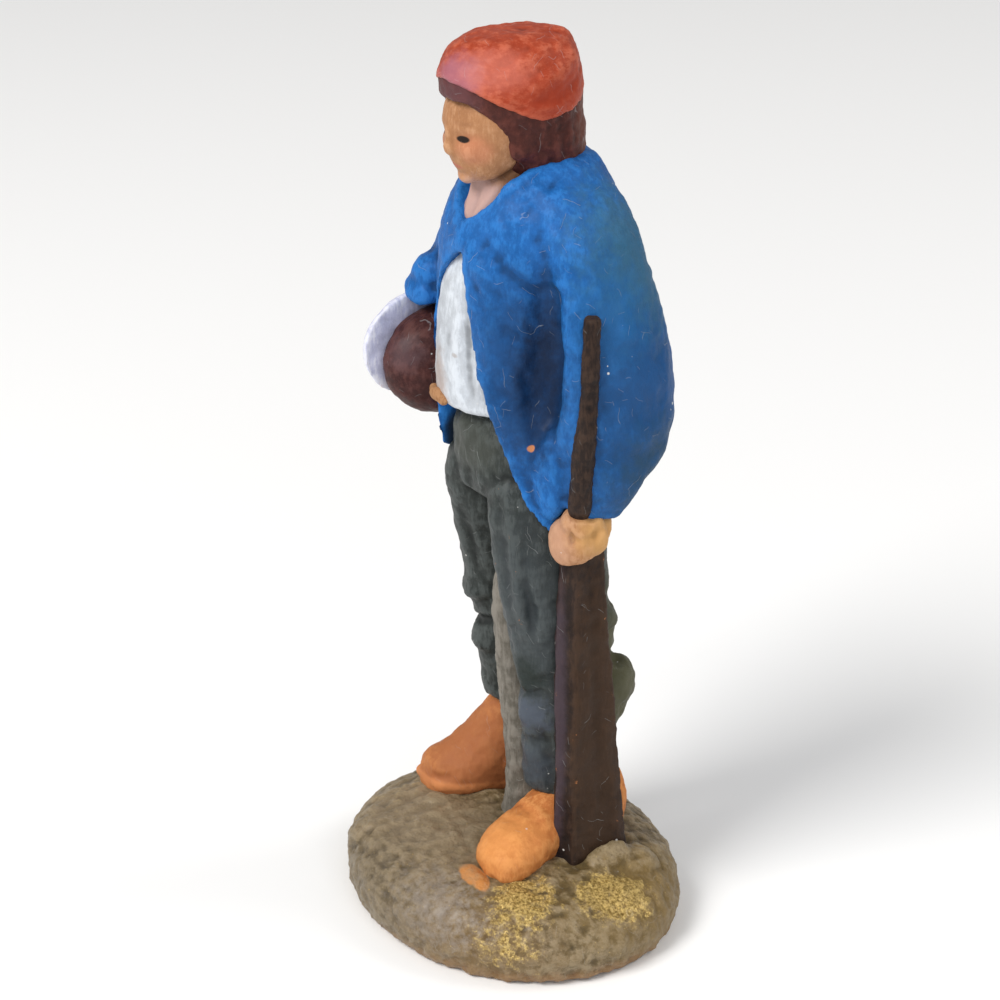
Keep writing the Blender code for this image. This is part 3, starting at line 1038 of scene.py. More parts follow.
@dataclass
class Mound:
    """The oval lump of earth that the shepherd stands on.

    The profile gives, from the foot up, a share of the height and of the half sizes.
    """

    centre: tuple[float, float] = (0.55, -0.59)
    half_length: float = 14.9
    half_width: float = 12.25
    foot: float = -5.0
    height: float = 6.15
    profile: tuple[tuple[float, float], ...] = (
        (0.0, 0.93), (0.02, 0.955), (0.16, 0.985), (0.36, 1.0), (0.58, 0.97), (0.77, 0.885),
        (0.90, 0.72), (0.975, 0.45), (1.0, 0.12))
    pebbles: int = 26
    heaps: tuple[Lump, ...] = (
        ((8.6, 2.9, 0.4), (1.5, 2.3, 1.5)), ((9.3, 0.6, -0.2), (1.5, 1.5, 1.1)),
        ((9.2, 4.6, 0.0), (2.0, 2.2, 1.2)), ((5.3, -6.95, 0.3), (1.8, 0.75, 0.8)),
        ((-7.0, -0.8, -0.4), (4.4, 5.2, 1.5)))
    paint: EarthPaint = EarthPaint(
        "earth_paint", deep=(0.100, 0.070, 0.030), body=(0.200, 0.140, 0.062),
        bright=(0.40, 0.31, 0.19), contrast=0.8, dust=0.6, bump=0.22, roughness=0.42,
        brush=(0.8, 1.6, 2.2), gloss=0.30,
        dabs=(Dab((8.0, -2.0, -4.9), (14.0, 14.0, 1.1), (0.33, 0.155, 0.055), 0.6, 0.5, 0.5),
              Dab((8.0, -8.0, -2.0), (6.0, 5.0, 3.0), (0.20, 0.118, 0.045), 0.60, 0.7, 0.7),
              Dab((12.0, 4.0, -2.0), (4.5, 6.5, 3.4), (0.23, 0.145, 0.042), 0.7, 0.6, 0.6),
              # Painted highlight: a pale grey sheen low on the front of the mound.
              Dab((4.5, -9.2, -1.6), (4.2, 2.8, 2.2), (0.40, 0.35, 0.31), 0.50, 0.5, 1.1, 2.0),
              Dab((5.3, -7.0, 0.2), (1.9, 0.85, 1.3), (0.62, 0.25, 0.065), 1.0, 0.10, 0.15),
              # Painted shade on the top of the mound between the feet, under the figure.
              Dab((1.0, -1.0, 1.0), (3.0, 4.5, 1.5), (0.070, 0.062, 0.036), 0.6, 0.6, 0.5),
              Dab((-5.0, -6.0, 1.0), (9.0, 5.0, 2.0), (0.36, 0.27, 0.17), 0.60, 0.6, 0.8),
              Dab((-2.0, -10.0, -2.6), (8.0, 5.0, 2.6), (0.150, 0.122, 0.088), 0.5, 0.6, 0.6)),
        gold=(Dab((8.8, -5.0, -1.2), (3.2, 3.0, 2.2), (1, 1, 1), 0.92, 0.6, 0.5),
              Dab((11.6, 0.9, -1.6), (2.6, 3.3, 2.6), (1, 1, 1), 1.0, 0.5, 0.35),
              Dab((8.6, -6.6, -2.2), (4.2, 3.0, 2.2), (1, 1, 1), 0.62, 0.7, 0.6),
              Dab((-9.0, -5.0, 0.0), (3.0, 3.0, 2.0), (1, 1, 1), 0.25, 0.6, 0.5)))

    def build(self) -> bpy.types.Object:
        """Model and paint the mound.

        Returns:
            The mound.
        """
        x, y = self.centre
        rings = [(x, y, self.foot + share * self.height, self.half_length * spread,
                  self.half_width * spread) for share, spread in self.profile]
        clay = Clay("mound").draw_out(rings, sides=40, rounding=1)
        chance = random.Random(7)
        for _ in range(self.pebbles):
            bearing = chance.uniform(0, math.tau)
            out = chance.uniform(0.25, 0.88)
            rise = 1.0 - 0.9 * max(out - 0.45, 0) ** 1.3 * 3.4
            size = chance.uniform(1.2, 2.6)
            clay.ball((x + self.half_length * 0.93 * out * math.cos(bearing),
                       y + self.half_width * 0.93 * out * math.sin(bearing),
                       max(rise, -2.6) - size * 0.62), (size, size * chance.uniform(0.8, 1.2),
                                                        size * 0.7))
        clay.balls(*self.heaps).fuse(0.24, 6)
        clay.dimple(1.9, 0.5, 1).dimple(0.8, 0.38, 2).dimple(0.35, 0.12, 27)
        points, _ = clay.read()
        points[:, 2] = np.maximum(points[:, 2], self.foot)
        clay.write(points)
        return clay.fire(self.paint, ("earth_mound",), "earth")


@dataclass
class Shoes:
    """The two clogs of bare orange clay colour."""

    left: tuple[Ring, ...] = (
        (4.0, 7.3, 2.9, 1.2, 2.2), (3.9, 6.3, 3.1, 2.0, 3.5), (3.8, 3.8, 3.0, 2.5, 3.6),
        (3.9, 1.6, 2.8, 2.5, 3.3), (4.4, -1.0, 2.2, 2.7, 2.7), (5.0, -3.4, 1.7, 3.0, 2.3),
        (5.4, -5.3, 1.4, 2.6, 1.9), (5.6, -6.3, 1.3, 1.5, 1.1))
    right: tuple[Ring, ...] = (
        (-3.3, 6.6, 1.9, 1.3, 1.2), (-3.9, 5.4, 2.3, 2.2, 2.5), (-4.9, 3.6, 4.6, 2.2, 5.2),
        (-5.5, 2.0, 4.4, 2.1, 5.0), (-6.5, -0.2, 2.7, 2.4, 2.9), (-7.3, -1.6, 2.1, 2.6, 2.4),
        (-7.8, -2.6, 1.7, 2.1, 1.8), (-7.9, -3.3, 1.6, 1.5, 1.4))
    paint: Paint = Paint(
        "shoe_clay", deep=(0.38, 0.115, 0.030), body=(0.58, 0.21, 0.060),
        bright=(0.70, 0.32, 0.11), contrast=0.5, wear=1.4, dust=0.5, bump=0.04,
        roughness=0.58,
        # Painted warm light on the front of the left shoe.
        dabs=(Dab((5.2, -4.2, 2.6), (2.6, 3.0, 2.2), (0.72, 0.30, 0.085), 0.6, 0.5),
              # Painted shade: the whole right shoe darker.
              Dab((-6.0, 1.5, 3.0), (4.5, 6.0, 6.0), (0.33, 0.115, 0.045), 0.85, 0.4, 0.3),
              # Painted shade at the foot of the left shoe, where it meets the earth.
              Dab((5.4, -4.5, -0.2), (4.5, 4.5, 0.75), (0.16, 0.055, 0.02), 0.6, 0.3),
              Dab((-7.0, -2.0, 1.5), (4.5, 5.5, 0.55), (0.62, 0.24, 0.09), 0.7, 0.3, 0.15)))

    def build(self) -> list[bpy.types.Object]:
        """Model and paint both shoes.

        Returns:
            The left and the right shoe.
        """
        left = Clay("left_shoe").draw_out(list(self.left), Run.FORWARD).fuse(0.16, 4)
        left.tool(Stroke(((2.6, -2.0, 3.6), (4.4, -1.9, 4.2), (6.6, -1.6, 3.4)), 0.9, -0.22),
                  Stroke(((3.0, -4.4, 2.9), (5.2, -4.2, 3.5), (7.4, -3.8, 2.7)), 1.2, 0.2),
                  Stroke(((7.2, -5.4, 0.6), (5.7, -6.6, 0.7), (3.6, -5.8, 0.6)), 0.5, -0.14))
        left.dimple(1.3, 0.26, 3).dimple(0.4, 0.07, 4)
        right = Clay("right_shoe").draw_out(list(self.right), Run.FORWARD).fuse(0.16, 4)
        right.tool(Stroke(((-8.6, 0.6, 3.6), (-7.0, -0.6, 4.6), (-5.2, -0.8, 3.4)), 0.9, -0.2),
                   Stroke(((-9.9, -1.6, 2.6), (-8.4, -2.4, 3.5), (-6.6, -2.9, 2.6)), 1.1, 0.15))
        right.tool(Stroke(((-9.3, 1.0, 2.5), (-9.7, -1.2, 2.4), (-9.6, -2.9, 2.3),
                           (-8.2, -4.0, 2.3), (-6.3, -2.9, 2.4), (-4.4, 0.4, 2.5)), 0.5, -0.30),
                   Stroke(((-9.4, 1.0, 1.6), (-9.8, -1.2, 1.6), (-9.6, -3.0, 1.5),
                           (-8.2, -4.1, 1.5), (-6.2, -3.0, 1.6), (-4.2, 0.4, 1.7)), 0.6, 0.20))
        right.relax(3)
        right.dimple(1.3, 0.26, 5).dimple(0.4, 0.07, 6)
        return [left.fire(self.paint, ("left_shoe",), "shoes"),
                right.fire(self.paint, ("right_shoe",), "shoes")]


@dataclass
class Trousers:
    """Dark green trousers: seat and both baggy legs in one pull of clay."""

    left: tuple[Ring, ...] = (
        (3.2, 2.9, 4.7, 2.7, 3.4), (3.2, 2.8, 5.6, 2.9, 3.7), (3.2, 2.9, 8.0, 2.8, 3.9),
        (3.2, 3.1, 10.4, 3.0, 4.3), (3.4, 3.5, 12.4, 3.1, 4.7), (3.3, 2.6, 14.9, 2.8, 4.1),
        (3.3, 2.1, 17.4, 3.0, 4.2), (3.3, 1.7, 20.0, 3.0, 4.5), (3.3, 1.3, 22.2, 3.0, 4.5),
        (3.3, 0.9, 25.6, 3.1, 4.7), (3.1, 0.8, 29.4, 3.2, 4.8), (2.8, 0.8, 32.5, 3.2, 4.6))
    right: tuple[Ring, ...] = (
        (-5.1, 3.6, 8.6, 2.2, 2.7), (-5.0, 3.5, 9.8, 2.4, 2.9), (-4.9, 3.3, 12.0, 2.4, 2.9),
        (-4.8, 3.0, 14.7, 2.7, 3.4), (-4.7, 2.9, 16.6, 2.4, 2.9), (-4.6, 2.4, 18.7, 2.8, 3.6),
        (-4.4, 2.0, 21.0, 2.6, 3.3), (-4.0, 1.3, 25.6, 2.8, 3.8), (-3.6, 0.8, 29.4, 3.0, 4.5),
        (-3.0, 0.8, 32.5, 3.1, 4.5))
    seat: tuple[Ring, ...] = (
        (0.0, 0.7, 28.6, 4.9, 4.0), (0.0, 0.7, 30.4, 6.1, 4.7), (0.0, 0.7, 33.0, 6.0, 4.7),
        (0.0, 0.7, 36.6, 5.8, 4.65))
    bulges: tuple[Lump, ...] = (
        ((4.3, 5.6, 13.3), (2.1, 2.3, 2.3)), ((4.2, 3.4, 19.6), (2.2, 2.4, 2.4)))
    paint: Paint = Paint(
        "trouser_green", deep=(0.014, 0.018, 0.017), body=(0.040, 0.046, 0.043),
        bright=(0.085, 0.098, 0.096), contrast=0.5, wear=1.15, dust=0.8, bump=0.05,
        roughness=0.50, brush=(2.6, 2.6, 0.55), gloss=0.05,
        # Painted highlights: a lighter blue-grey sheen on the front of the left leg, its knee
        # bulge and its shin.
        dabs=(Dab((4.2, -2.2, 20.0), (3.0, 3.0, 9.0), (0.060, 0.072, 0.080), 0.5, 0.6),
              Dab((3.9, -1.5, 12.1), (2.6, 1.6, 1.5), (0.070, 0.084, 0.112), 0.75, 0.6, 0.9),
              Dab((3.6, -1.0, 7.6), (2.0, 1.8, 2.0), (0.050, 0.062, 0.080), 0.7, 0.6),
              # Painted shade round the crease at the left knee.
              Dab((3.4, -1.8, 15.4), (2.6, 1.6, 1.6), (0.012, 0.019, 0.015), 0.75, 0.6, 0.6),
              Dab((5.0, 6.0, 14.0), (5.0, 4.0, 8.0), (0.100, 0.092, 0.042), 0.7, 0.5),
              Dab((-0.6, -4.2, 33.5), (4.0, 2.0, 2.0), (0.060, 0.065, 0.052), 0.5, 0.5)))

    def folds(self) -> list[Stroke]:
        """List the creases and ridges of the cloth.

        Returns:
            The strokes of the front, the back and the far leg.
        """
        front = [
            Stroke(((-0.5, -4.6, 32.0), (-0.4, -4.2, 29.5), (-0.4, -3.8, 27.0)), 0.9, -0.55),
            Stroke(((1.6, -4.6, 34.6), (1.3, -4.4, 30.0), (1.0, -3.4, 24.0)), 1.0, 0.28),
            Stroke(((3.6, -4.4, 31.0), (3.9, -3.8, 26.0), (4.2, -3.2, 21.0)), 1.1, -0.32),
            Stroke(((5.0, -3.4, 28.0), (5.0, -3.0, 23.0), (4.8, -2.4, 18.0)), 1.0, 0.30),
            Stroke(((2.2, -3.3, 22.5), (2.6, -2.6, 17.0), (2.4, -1.4, 11.0)), 0.9, -0.34),
            Stroke(((3.4, -2.3, 15.6), (3.6, -1.2, 11.0), (3.4, -0.2, 6.5)), 1.0, 0.30),
            Stroke(((4.9, -1.6, 14.6), (5.2, -0.7, 9.8), (5.0, 0.2, 6.0)), 0.8, -0.30),
            Stroke(((0.9, -1.4, 19.8), (2.8, -2.9, 19.0), (5.0, -2.6, 20.2)), 0.8, -0.24),
            Stroke(((1.6, -1.0, 14.3), (2.9, -1.7, 13.7), (4.2, -1.6, 13.8), (5.6, -0.9, 14.4)),
                   0.75, -0.85),
            Stroke(((1.8, -0.9, 12.2), (3.8, -1.5, 12.0), (5.4, -0.8, 12.3)), 1.5, 0.36),
            Stroke(((1.6, -0.4, 10.0), (3.4, -1.2, 9.7), (5.2, -0.6, 10.3)), 0.8, -0.30),
            Stroke(((5.0, -2.4, 24.0), (5.4, -2.0, 21.0), (5.3, -1.9, 18.2)), 0.7, -0.55)]
        back = [
            Stroke(((6.2, 4.4, 23.0), (5.2, 6.0, 20.8), (2.4, 6.2, 20.0)), 1.1, -0.5),
            Stroke(((6.4, 3.6, 20.6), (5.6, 5.9, 18.4), (2.2, 6.3, 18.2)), 1.0, 0.45),
            Stroke(((6.3, 3.2, 17.6), (5.6, 5.8, 15.8), (2.0, 6.2, 15.4)), 1.0, -0.55),
            Stroke(((6.2, 3.0, 10.6), (5.4, 6.5, 9.6), (2.2, 7.0, 9.4)), 0.9, -0.3),
            Stroke(((-6.8, 4.0, 22.4), (-5.0, 5.4, 20.4), (-2.4, 5.2, 20.0)), 1.0, -0.4),
            Stroke(((-7.2, 4.4, 15.0), (-5.0, 6.2, 14.0), (-2.6, 5.9, 14.0)), 1.1, 0.35)]
        far_leg = [
            Stroke(((-7.0, 0.2, 19.4), (-5.4, -1.0, 18.6), (-3.0, -0.8, 19.4)), 0.9, 0.42),
            Stroke(((-7.0, 1.0, 16.4), (-5.2, -0.1, 16.0), (-3.0, 0.0, 16.6)), 0.8, -0.50),
            Stroke(((-7.2, 1.4, 14.4), (-5.4, -0.4, 14.1), (-3.0, 0.1, 14.4)), 0.9, 0.36),
            Stroke(((-3.0, -2.6, 27.0), (-3.4, -1.8, 23.4), (-3.2, -1.2, 20.6)), 0.9, -0.30)]
        return front + back + far_leg

    def build(self) -> bpy.types.Object:
        """Model and paint the trousers.

        Returns:
            The trousers.
        """
        clay = Clay("trousers")
        for rings in (self.left, self.right, self.seat):
            clay.draw_out(list(rings))
        clay.balls(*self.bulges).fuse(0.2, 6).tool(*self.folds()).relax(1)
        clay.dimple(1.7, 0.42, 7).dimple(0.55, 0.1, 8)
        return clay.fire(self.paint, ("left_trouser_leg", "right_trouser_leg", "trouser_seat"),
                         "trousers")


@dataclass
class Stump:
    """The taupe tree stump between the legs that carries the figure."""

    rings: tuple[Ring, ...] = (
        (-0.5, 2.2, -0.9, 2.9, 3.3), (-0.3, 2.4, 1.2, 2.2, 2.9), (-0.4, 2.5, 5.0, 1.9, 2.7),
        (-0.5, 2.0, 11.5, 1.9, 2.8), (-0.5, 1.4, 18.0, 1.9, 2.8), (-0.4, 1.1, 21.6, 1.7, 2.8),
        (-0.2, 1.4, 24.6, 1.5, 2.0), (-0.2, 1.2, 27.6, 1.5, 2.0))
    furrows: tuple[float, ...] = (-1.6, -0.5, 0.6)
    paint: Paint = Paint(
        "stump_taupe", deep=(0.085, 0.077, 0.062), body=(0.165, 0.150, 0.124),
        bright=(0.25, 0.23, 0.20), contrast=0.6, wear=1.2, dust=0.9, bump=0.06,
        roughness=0.6, brush=(2.8, 2.8, 0.4))

    def build(self) -> bpy.types.Object:
        """Model and paint the stump.

        Returns:
            The stump.
        """
        clay = Clay("stump").draw_out(list(self.rings)).fuse(0.2, 3)
        for place in self.furrows:
            clay.tool(Stroke(((place, -2.2, 22.0), (place - 0.3, -1.8, 12.0),
                              (place, -1.6, 0.5)), 0.55, -0.3),
                      Stroke(((place, 5.0, 22.0), (place + 0.3, 5.2, 12.0),
                              (place, 5.6, 0.5)), 0.6, -0.3))
        clay.dimple(1.2, 0.35, 9)
        return clay.fire(self.paint, ("tree_stump",), "stump")


@dataclass
class Shirt:
    """The white shirt that shows in the jacket's opening."""

    rings: tuple[Ring, ...] = (
        (-1.2, 0.4, 35.6, 5.3, 5.1), (-1.2, 0.3, 36.4, 5.5, 5.3), (-1.2, 0.3, 41.0, 5.4, 5.4),
        (-0.9, 0.6, 45.5, 5.2, 5.2), (-0.4, 0.8, 49.2, 4.8, 4.8))
    paint: Paint = Paint(
        "shirt_white", deep=(0.38, 0.40, 0.43), body=(0.56, 0.60, 0.65),
        bright=(0.68, 0.72, 0.77), contrast=0.5, wear=1.25, dust=0.3, bump=0.04,
        roughness=0.55, brush=(2.2, 2.2, 0.6),
        dabs=(Dab((-2.6, -3.9, 37.4), (1.3, 2.0, 3.0), (0.34, 0.20, 0.12), 0.5, 0.5, 0.6),
              Dab((0.9, -4.3, 45.4), (0.22, 1.0, 0.22), (0.25, 0.25, 0.25), 0.6, 0.3, 0.2),
              Dab((-0.2, -4.3, 40.4), (0.30, 1.0, 0.18), (0.30, 0.24, 0.20), 0.5, 0.3, 0.3)))

    def build(self) -> bpy.types.Object:
        """Model and paint the shirt.

        Returns:
            The shirt.
        """
        clay = Clay("shirt").draw_out(list(self.rings), sides=24).fuse(0.2, 3)
        clay.tool(Stroke(((0.6, -4.4, 46.8), (0.9, -4.6, 41.0), (1.2, -4.4, 36.8)), 0.7, -0.2),
                  Stroke(((-1.0, -4.4, 43.0), (-1.3, -4.5, 39.4), (-1.2, -4.3, 36.8)), 0.6, -0.2),
                  Stroke(((-0.2, -4.4, 44.0), (-0.3, -4.6, 39.0), (0.0, -4.4, 36.8)), 0.7, 0.18),
                  Stroke(((2.2, -4.2, 43.0), (2.5, -4.3, 39.0), (2.8, -4.1, 36.8)), 0.7, 0.18))
        clay.dimple(1.5, 0.2, 10)
        return clay.fire(self.paint, ("shirt_torso",), "shirt")


@dataclass
class Head:
    """Head, neck and bare chest with a plain painted face, under hair and cap."""

    turn_right: float = -4.0
    nod: float = 12.0
    pivot: Point = (-0.1, -1.0, 55.5)
    nose: Lump = ((0.0, -4.75, 56.5), (0.5, 0.6, 0.65))
    chin: Lump = ((0.0, -4.1, 54.2), (0.9, 0.6, 0.6))
    crown_fold: Lump = ((0.6, 1.9, 62.4), (1.6, 1.5, 1.0))
    neck: tuple[Ring, ...] = (
        (0.0, 0.0, 47.5, 3.4, 2.9), (0.0, -0.1, 49.4, 4.0, 3.8), (0.0, -0.2, 50.6, 3.6, 3.6),
        (0.0, -0.3, 51.8, 2.8, 2.9), (-0.1, -0.4, 53.2, 2.3, 2.4), (-0.1, -0.3, 56.6, 2.2, 2.3))
    skull: tuple[Ring, ...] = (
        (0.0, -2.9, 53.6, 1.1, 1.0), (0.0, -2.3, 54.1, 2.1, 2.1), (0.0, -1.7, 55.2, 2.9, 3.2),
        (0.0, -1.3, 56.4, 3.3, 3.75), (0.0, -1.0, 57.8, 3.5, 4.0), (0.0, -0.6, 59.4, 3.4, 3.9),
        (0.0, -0.1, 60.8, 2.6, 3.0), (0.0, 0.1, 61.6, 1.4, 1.6))
    hair_rings: tuple[Ring, ...] = (
        (0.1, 1.7, 53.0, 2.9, 2.5), (0.1, 1.6, 54.0, 3.7, 3.7), (0.1, 1.0, 55.8, 4.1, 4.3),
        (0.0, 0.1, 57.8, 4.4, 4.9), (0.0, -0.3, 59.4, 4.45, 5.3), (0.0, -0.4, 60.9, 4.2, 5.1),
        (0.0, -0.2, 62.0, 3.2, 3.8))
    cap_rings: tuple[Ring, ...] = (
        (0.0, -0.2, 57.2, 4.5, 5.1), (0.0, -0.3, 58.4, 4.7, 5.3), (0.0, -0.4, 59.6, 4.75, 5.45),
        (0.0, -0.4, 61.0, 4.6, 5.3), (0.0, -0.2, 62.3, 4.1, 4.7), (0.1, 0.0, 63.1, 3.2, 3.8),
        (0.1, 0.1, 63.45, 2.0, 2.4))
    hair_paint: Paint = Paint(
        "hair_brown", deep=(0.034, 0.008, 0.006), body=(0.085, 0.020, 0.014),
        bright=(0.14, 0.042, 0.030), contrast=0.45, wear=1.25, dust=0.7, bump=0.06,
        roughness=0.52, brush=(1.6, 1.6, 0.8), gloss=0.05,
        # Painted sheen: a mauve light on the front of the hair.
        dabs=(Dab((0.5, -5.4, 59.6), (2.2, 1.6, 1.4), (0.115, 0.045, 0.050), 0.7, 0.5, 0.4),
              Dab((1.6, 4.6, 57.0), (4.0, 2.0, 2.6), (0.150, 0.045, 0.022), 0.5, 0.5, 0.5)))
    cap_paint: Paint = Paint(
        "cap_red", deep=(0.24, 0.026, 0.008), body=(0.40, 0.058, 0.020),
        bright=(0.56, 0.15, 0.082), contrast=0.5, wear=1.25, dust=0.8, bump=0.05,
        roughness=0.5, brush=(1.2, 1.2, 2.4), gloss=0.05,
        # Painted sheen: mauve on the front of the cap.
        dabs=(Dab((1.0, -5.6, 60.9), (2.1, 1.9, 1.7), (0.34, 0.125, 0.165), 0.8, 0.5, 0.4),
              # Painted highlight on the top of the cap.
              Dab((3.0, -3.4, 61.6), (2.6, 2.2, 1.3), (0.58, 0.17, 0.12), 0.45, 0.5, 0.5),
              # Painted shade low on the cap's left side towards the back.
              Dab((4.3, 1.2, 59.6), (1.6, 3.6, 1.5), (0.30, 0.030, 0.008), 0.7, 0.5, 0.5)))

    def pose(self, clay: Clay) -> Clay:
        """Turn the straight skull to the way the head looks.

        Args:
            clay: The skull, modelled facing straight on.

        Returns:
            The same piece.
        """
        return clay.turn(self.nod, Axis.X, self.pivot).turn(self.turn_right, Axis.Z, self.pivot)

    def spot(self, point: Point) -> Point:
        """Find where a point of the straight head ends up once it's posed.

        Args:
            point: A place on the straight head.

        Returns:
            The place on the posed head.
        """
        px, py, pz = self.pivot
        x, y, z = point[0] - px, point[1] - py, point[2] - pz
        nod, turn = math.radians(self.nod), math.radians(self.turn_right)
        y, z = y * math.cos(nod) - z * math.sin(nod), y * math.sin(nod) + z * math.cos(nod)
        x, y = x * math.cos(turn) - y * math.sin(turn), x * math.sin(turn) + y * math.cos(turn)
        return (x + px, y + py, z + pz)

    def face_paint(self) -> Paint:
        """Add eyes, brows, lips and blush to the skin paint.

        Returns:
            The paint of the face.
        """
        dabs = list(SKIN.dabs)
        for side in (-1, 1):
            dabs += [
                Dab(self.spot((side * 1.9, -4.0, 56.6)), (1.3, 1.3, 1.1), (0.56, 0.20, 0.11),
                    0.45, 0.5, 0.3),
                Dab(self.spot((side * 1.45, -4.9, 57.45)), (0.55, 1.0, 0.27),
                    (0.018, 0.011, 0.009), 1.0, 0.14, 0.04),
                Dab(self.spot((side * 1.5, -4.9, 58.6)), (1.0, 1.2, 0.18), (0.26, 0.12, 0.06),
                    0.25, 0.5, 0.15)]
        dabs.append(Dab(self.spot((0.0, -5.2, 55.25)), (0.85, 1.0, 0.20), (0.40, 0.11, 0.07),
                        0.75, 0.35, 0.08))
        return Paint("painted_face", SKIN.deep, SKIN.body, SKIN.bright, contrast=0.4, wear=1.4,
                     dust=0.35, bump=0.025, roughness=0.52, dabs=tuple(dabs))

    def build_face(self) -> bpy.types.Object:
        """Model head, neck and chest.

        Returns:
            The head.
        """
        skull = Clay("head").draw_out(list(self.skull), sides=24)
        skull.balls(self.nose, self.chin).fuse(0.12, 4)
        marks = [Stroke(((0.0, -5.1, 58.2), (0.0, -5.3, 57.3), (0.0, -5.4, 56.6)), 0.75, 0.2),
                 Stroke(((-0.8, -5.2, 55.25), (0.0, -5.4, 55.2), (0.8, -5.2, 55.25)), 0.22, -0.2),
                 Stroke(((-0.7, -5.2, 55.5), (0.0, -5.4, 55.55), (0.7, -5.2, 55.5)), 0.3, 0.14),
                 Stroke(((-0.6, -5.1, 54.95), (0.0, -5.3, 54.9), (0.6, -5.1, 54.95)), 0.32, 0.16),
                 Stroke(((-0.7, -4.6, 54.55), (0.0, -4.7, 54.5), (0.7, -4.6, 54.55)), 0.35, -0.12)]
        for side in (-1, 1):
            marks += [
                Stroke(((side * 0.9, -5.1, 57.5), (side * 1.6, -4.8, 57.5),
                        (side * 2.4, -4.2, 57.4)), 0.75, -0.26),
                Stroke(((side * 1.0, -5.0, 57.45), (side * 2.0, -4.6, 57.45)), 0.34, 0.14),
                Stroke(((side * 0.7, -5.2, 58.6), (side * 1.6, -4.9, 58.75),
                        (side * 2.6, -4.1, 58.4)), 0.7, 0.08),
                Stroke(((side * 1.2, -4.7, 56.3), (side * 2.2, -4.0, 56.5)), 0.95, 0.20),
                Stroke(((side * 0.7, -5.2, 56.1), (side * 1.2, -4.9, 55.5)), 0.35, -0.09)]
        skull.tool(*marks).relax(1)
        self.pose(skull)
        neck = Clay("head").draw_out(list(self.neck))
        neck.lumps.insert(0, skull.obj)
        neck.fuse(0.12, 1)
        neck.tool(Stroke(((-1.4, -2.6, 53.2), (-0.9, -3.4, 51.6), (-0.3, -3.9, 50.4)), 0.6, 0.2),
                  Stroke(((1.6, -2.2, 53.0), (1.0, -3.3, 51.6), (0.3, -3.9, 50.4)), 0.6, 0.2),
                  Stroke(((0.0, -2.9, 52.8), (0.1, -3.7, 50.8)), 0.5, -0.16))
        neck.dimple(0.9, 0.07, 11)
        return neck.fire(self.face_paint(), ("head", "neck"), "skin")

    def build_hair(self) -> bpy.types.Object:
        """Model the hair: a band round the forehead, locks at the cheeks and the nape.

        Returns:
            The hair.
        """
        clay = Clay("hair").draw_out(list(self.hair_rings), sides=24).fuse(0.14, 2)
        clay.cut([(-1.6, 52.0), (-1.5, 55.0), (-2.3, 56.3), (-3.6, 58.1), (-4.8, 59.2),
                  (-9.0, 59.6), (-9.0, 52.0)], Axis.X, -7, 7)
        clay.fuse(0.12, 3)
        chance = random.Random(3)
        strands = []
        for side in (-1, 1):
            for index in range(9):
                back = -3.8 + index * 0.95
                low = 53.4 + chance.uniform(0, 1.3)
                strands.append(Stroke(
                    ((side * 3.9, back - 0.5, 59.4), (side * 4.2, back + 0.1, 57.6),
                     (side * 3.9, back + 0.4 + chance.uniform(-0.2, 0.3), low)),
                    chance.uniform(0.35, 0.55), chance.choice((-0.10, -0.08, 0.08))))
        for index in range(10):
            across = -3.6 + index * 0.8
            strands.append(Stroke(((across, 5.0, 59.0), (across * 1.02, 5.1, 57.0),
                                   (across * 0.9, 4.4, 55.0)), 0.5, -0.1))
            strands.append(Stroke(((across, -5.8, 61.0), (across + 0.3, -5.7, 59.9)),
                                  0.3, -0.14))
        clay.tool(*strands)
        clay.push(Push((3.6, -2.0, 55.6), 1.5, (0.15, -0.35, -0.55)),
                  Push((-3.6, -2.0, 55.6), 1.5, (-0.15, -0.35, -0.4)))
        clay.dimple(1.4, 0.26, 12).dimple(0.5, 0.12, 28)
        return clay.fire(self.hair_paint, ("hair",), "hair")

    def build_cap(self) -> bpy.types.Object:
        """Model the soft cap with its fold at the crown.

        Returns:
            The cap.
        """
        clay = Clay("cap").draw_out(list(self.cap_rings), sides=24)
        clay.balls(self.crown_fold).fuse(0.16, 3)
        clay.cut([(-8.0, 61.3), (-5.6, 60.7), (-4.4, 59.9), (-3.0, 59.0), (-0.5, 58.0),
                  (2.5, 58.4), (8.0, 59.8), (8.0, 54.0), (-8.0, 54.0)], Axis.X, -7, 7)
        clay.fuse(0.15, 3)
        clay.push(Push((0.9, 3.0, 62.9), 1.3, (0.1, 0.25, 0.12)),
                  Push((-0.4, 0.2, 63.9), 2.4, (0.0, 0.0, -0.15)))
        clay.tool(Stroke(((3.4, -3.8, 61.8), (3.0, -0.8, 62.9), (1.8, 2.0, 63.3)), 0.9, -0.22),
                  Stroke(((4.6, -1.6, 60.2), (4.2, 1.2, 61.4), (2.6, 3.4, 62.3)), 1.0, 0.24),
                  Stroke(((4.7, 0.6, 59.4), (4.0, 3.2, 60.4), (2.2, 4.6, 61.6)), 0.7, -0.24),
                  Stroke(((-3.4, -3.0, 62.0), (-2.8, 0.0, 62.9), (-1.0, 2.6, 63.2)), 0.9, -0.2),
                  Stroke(((-4.4, 0.6, 59.8), (-3.6, 3.0, 60.8), (-1.2, 4.4, 61.8)), 0.8, 0.2),
                  Stroke(((4.6, -3.0, 59.6), (4.9, -0.4, 58.9), (4.6, 2.4, 59.1),
                          (2.6, 4.8, 59.5), (-0.4, 5.3, 59.6)), 0.55, 0.22))
        clay.dimple(1.6, 0.3, 13).dimple(0.5, 0.08, 14)
        return clay.fire(self.cap_paint, ("cap", "cap_fold"), "cap")

    def build(self) -> list[bpy.types.Object]:
        """Model and paint head, hair and cap.

        Returns:
            The three pieces.
        """
        return [self.build_face(), self.build_hair(), self.build_cap()]


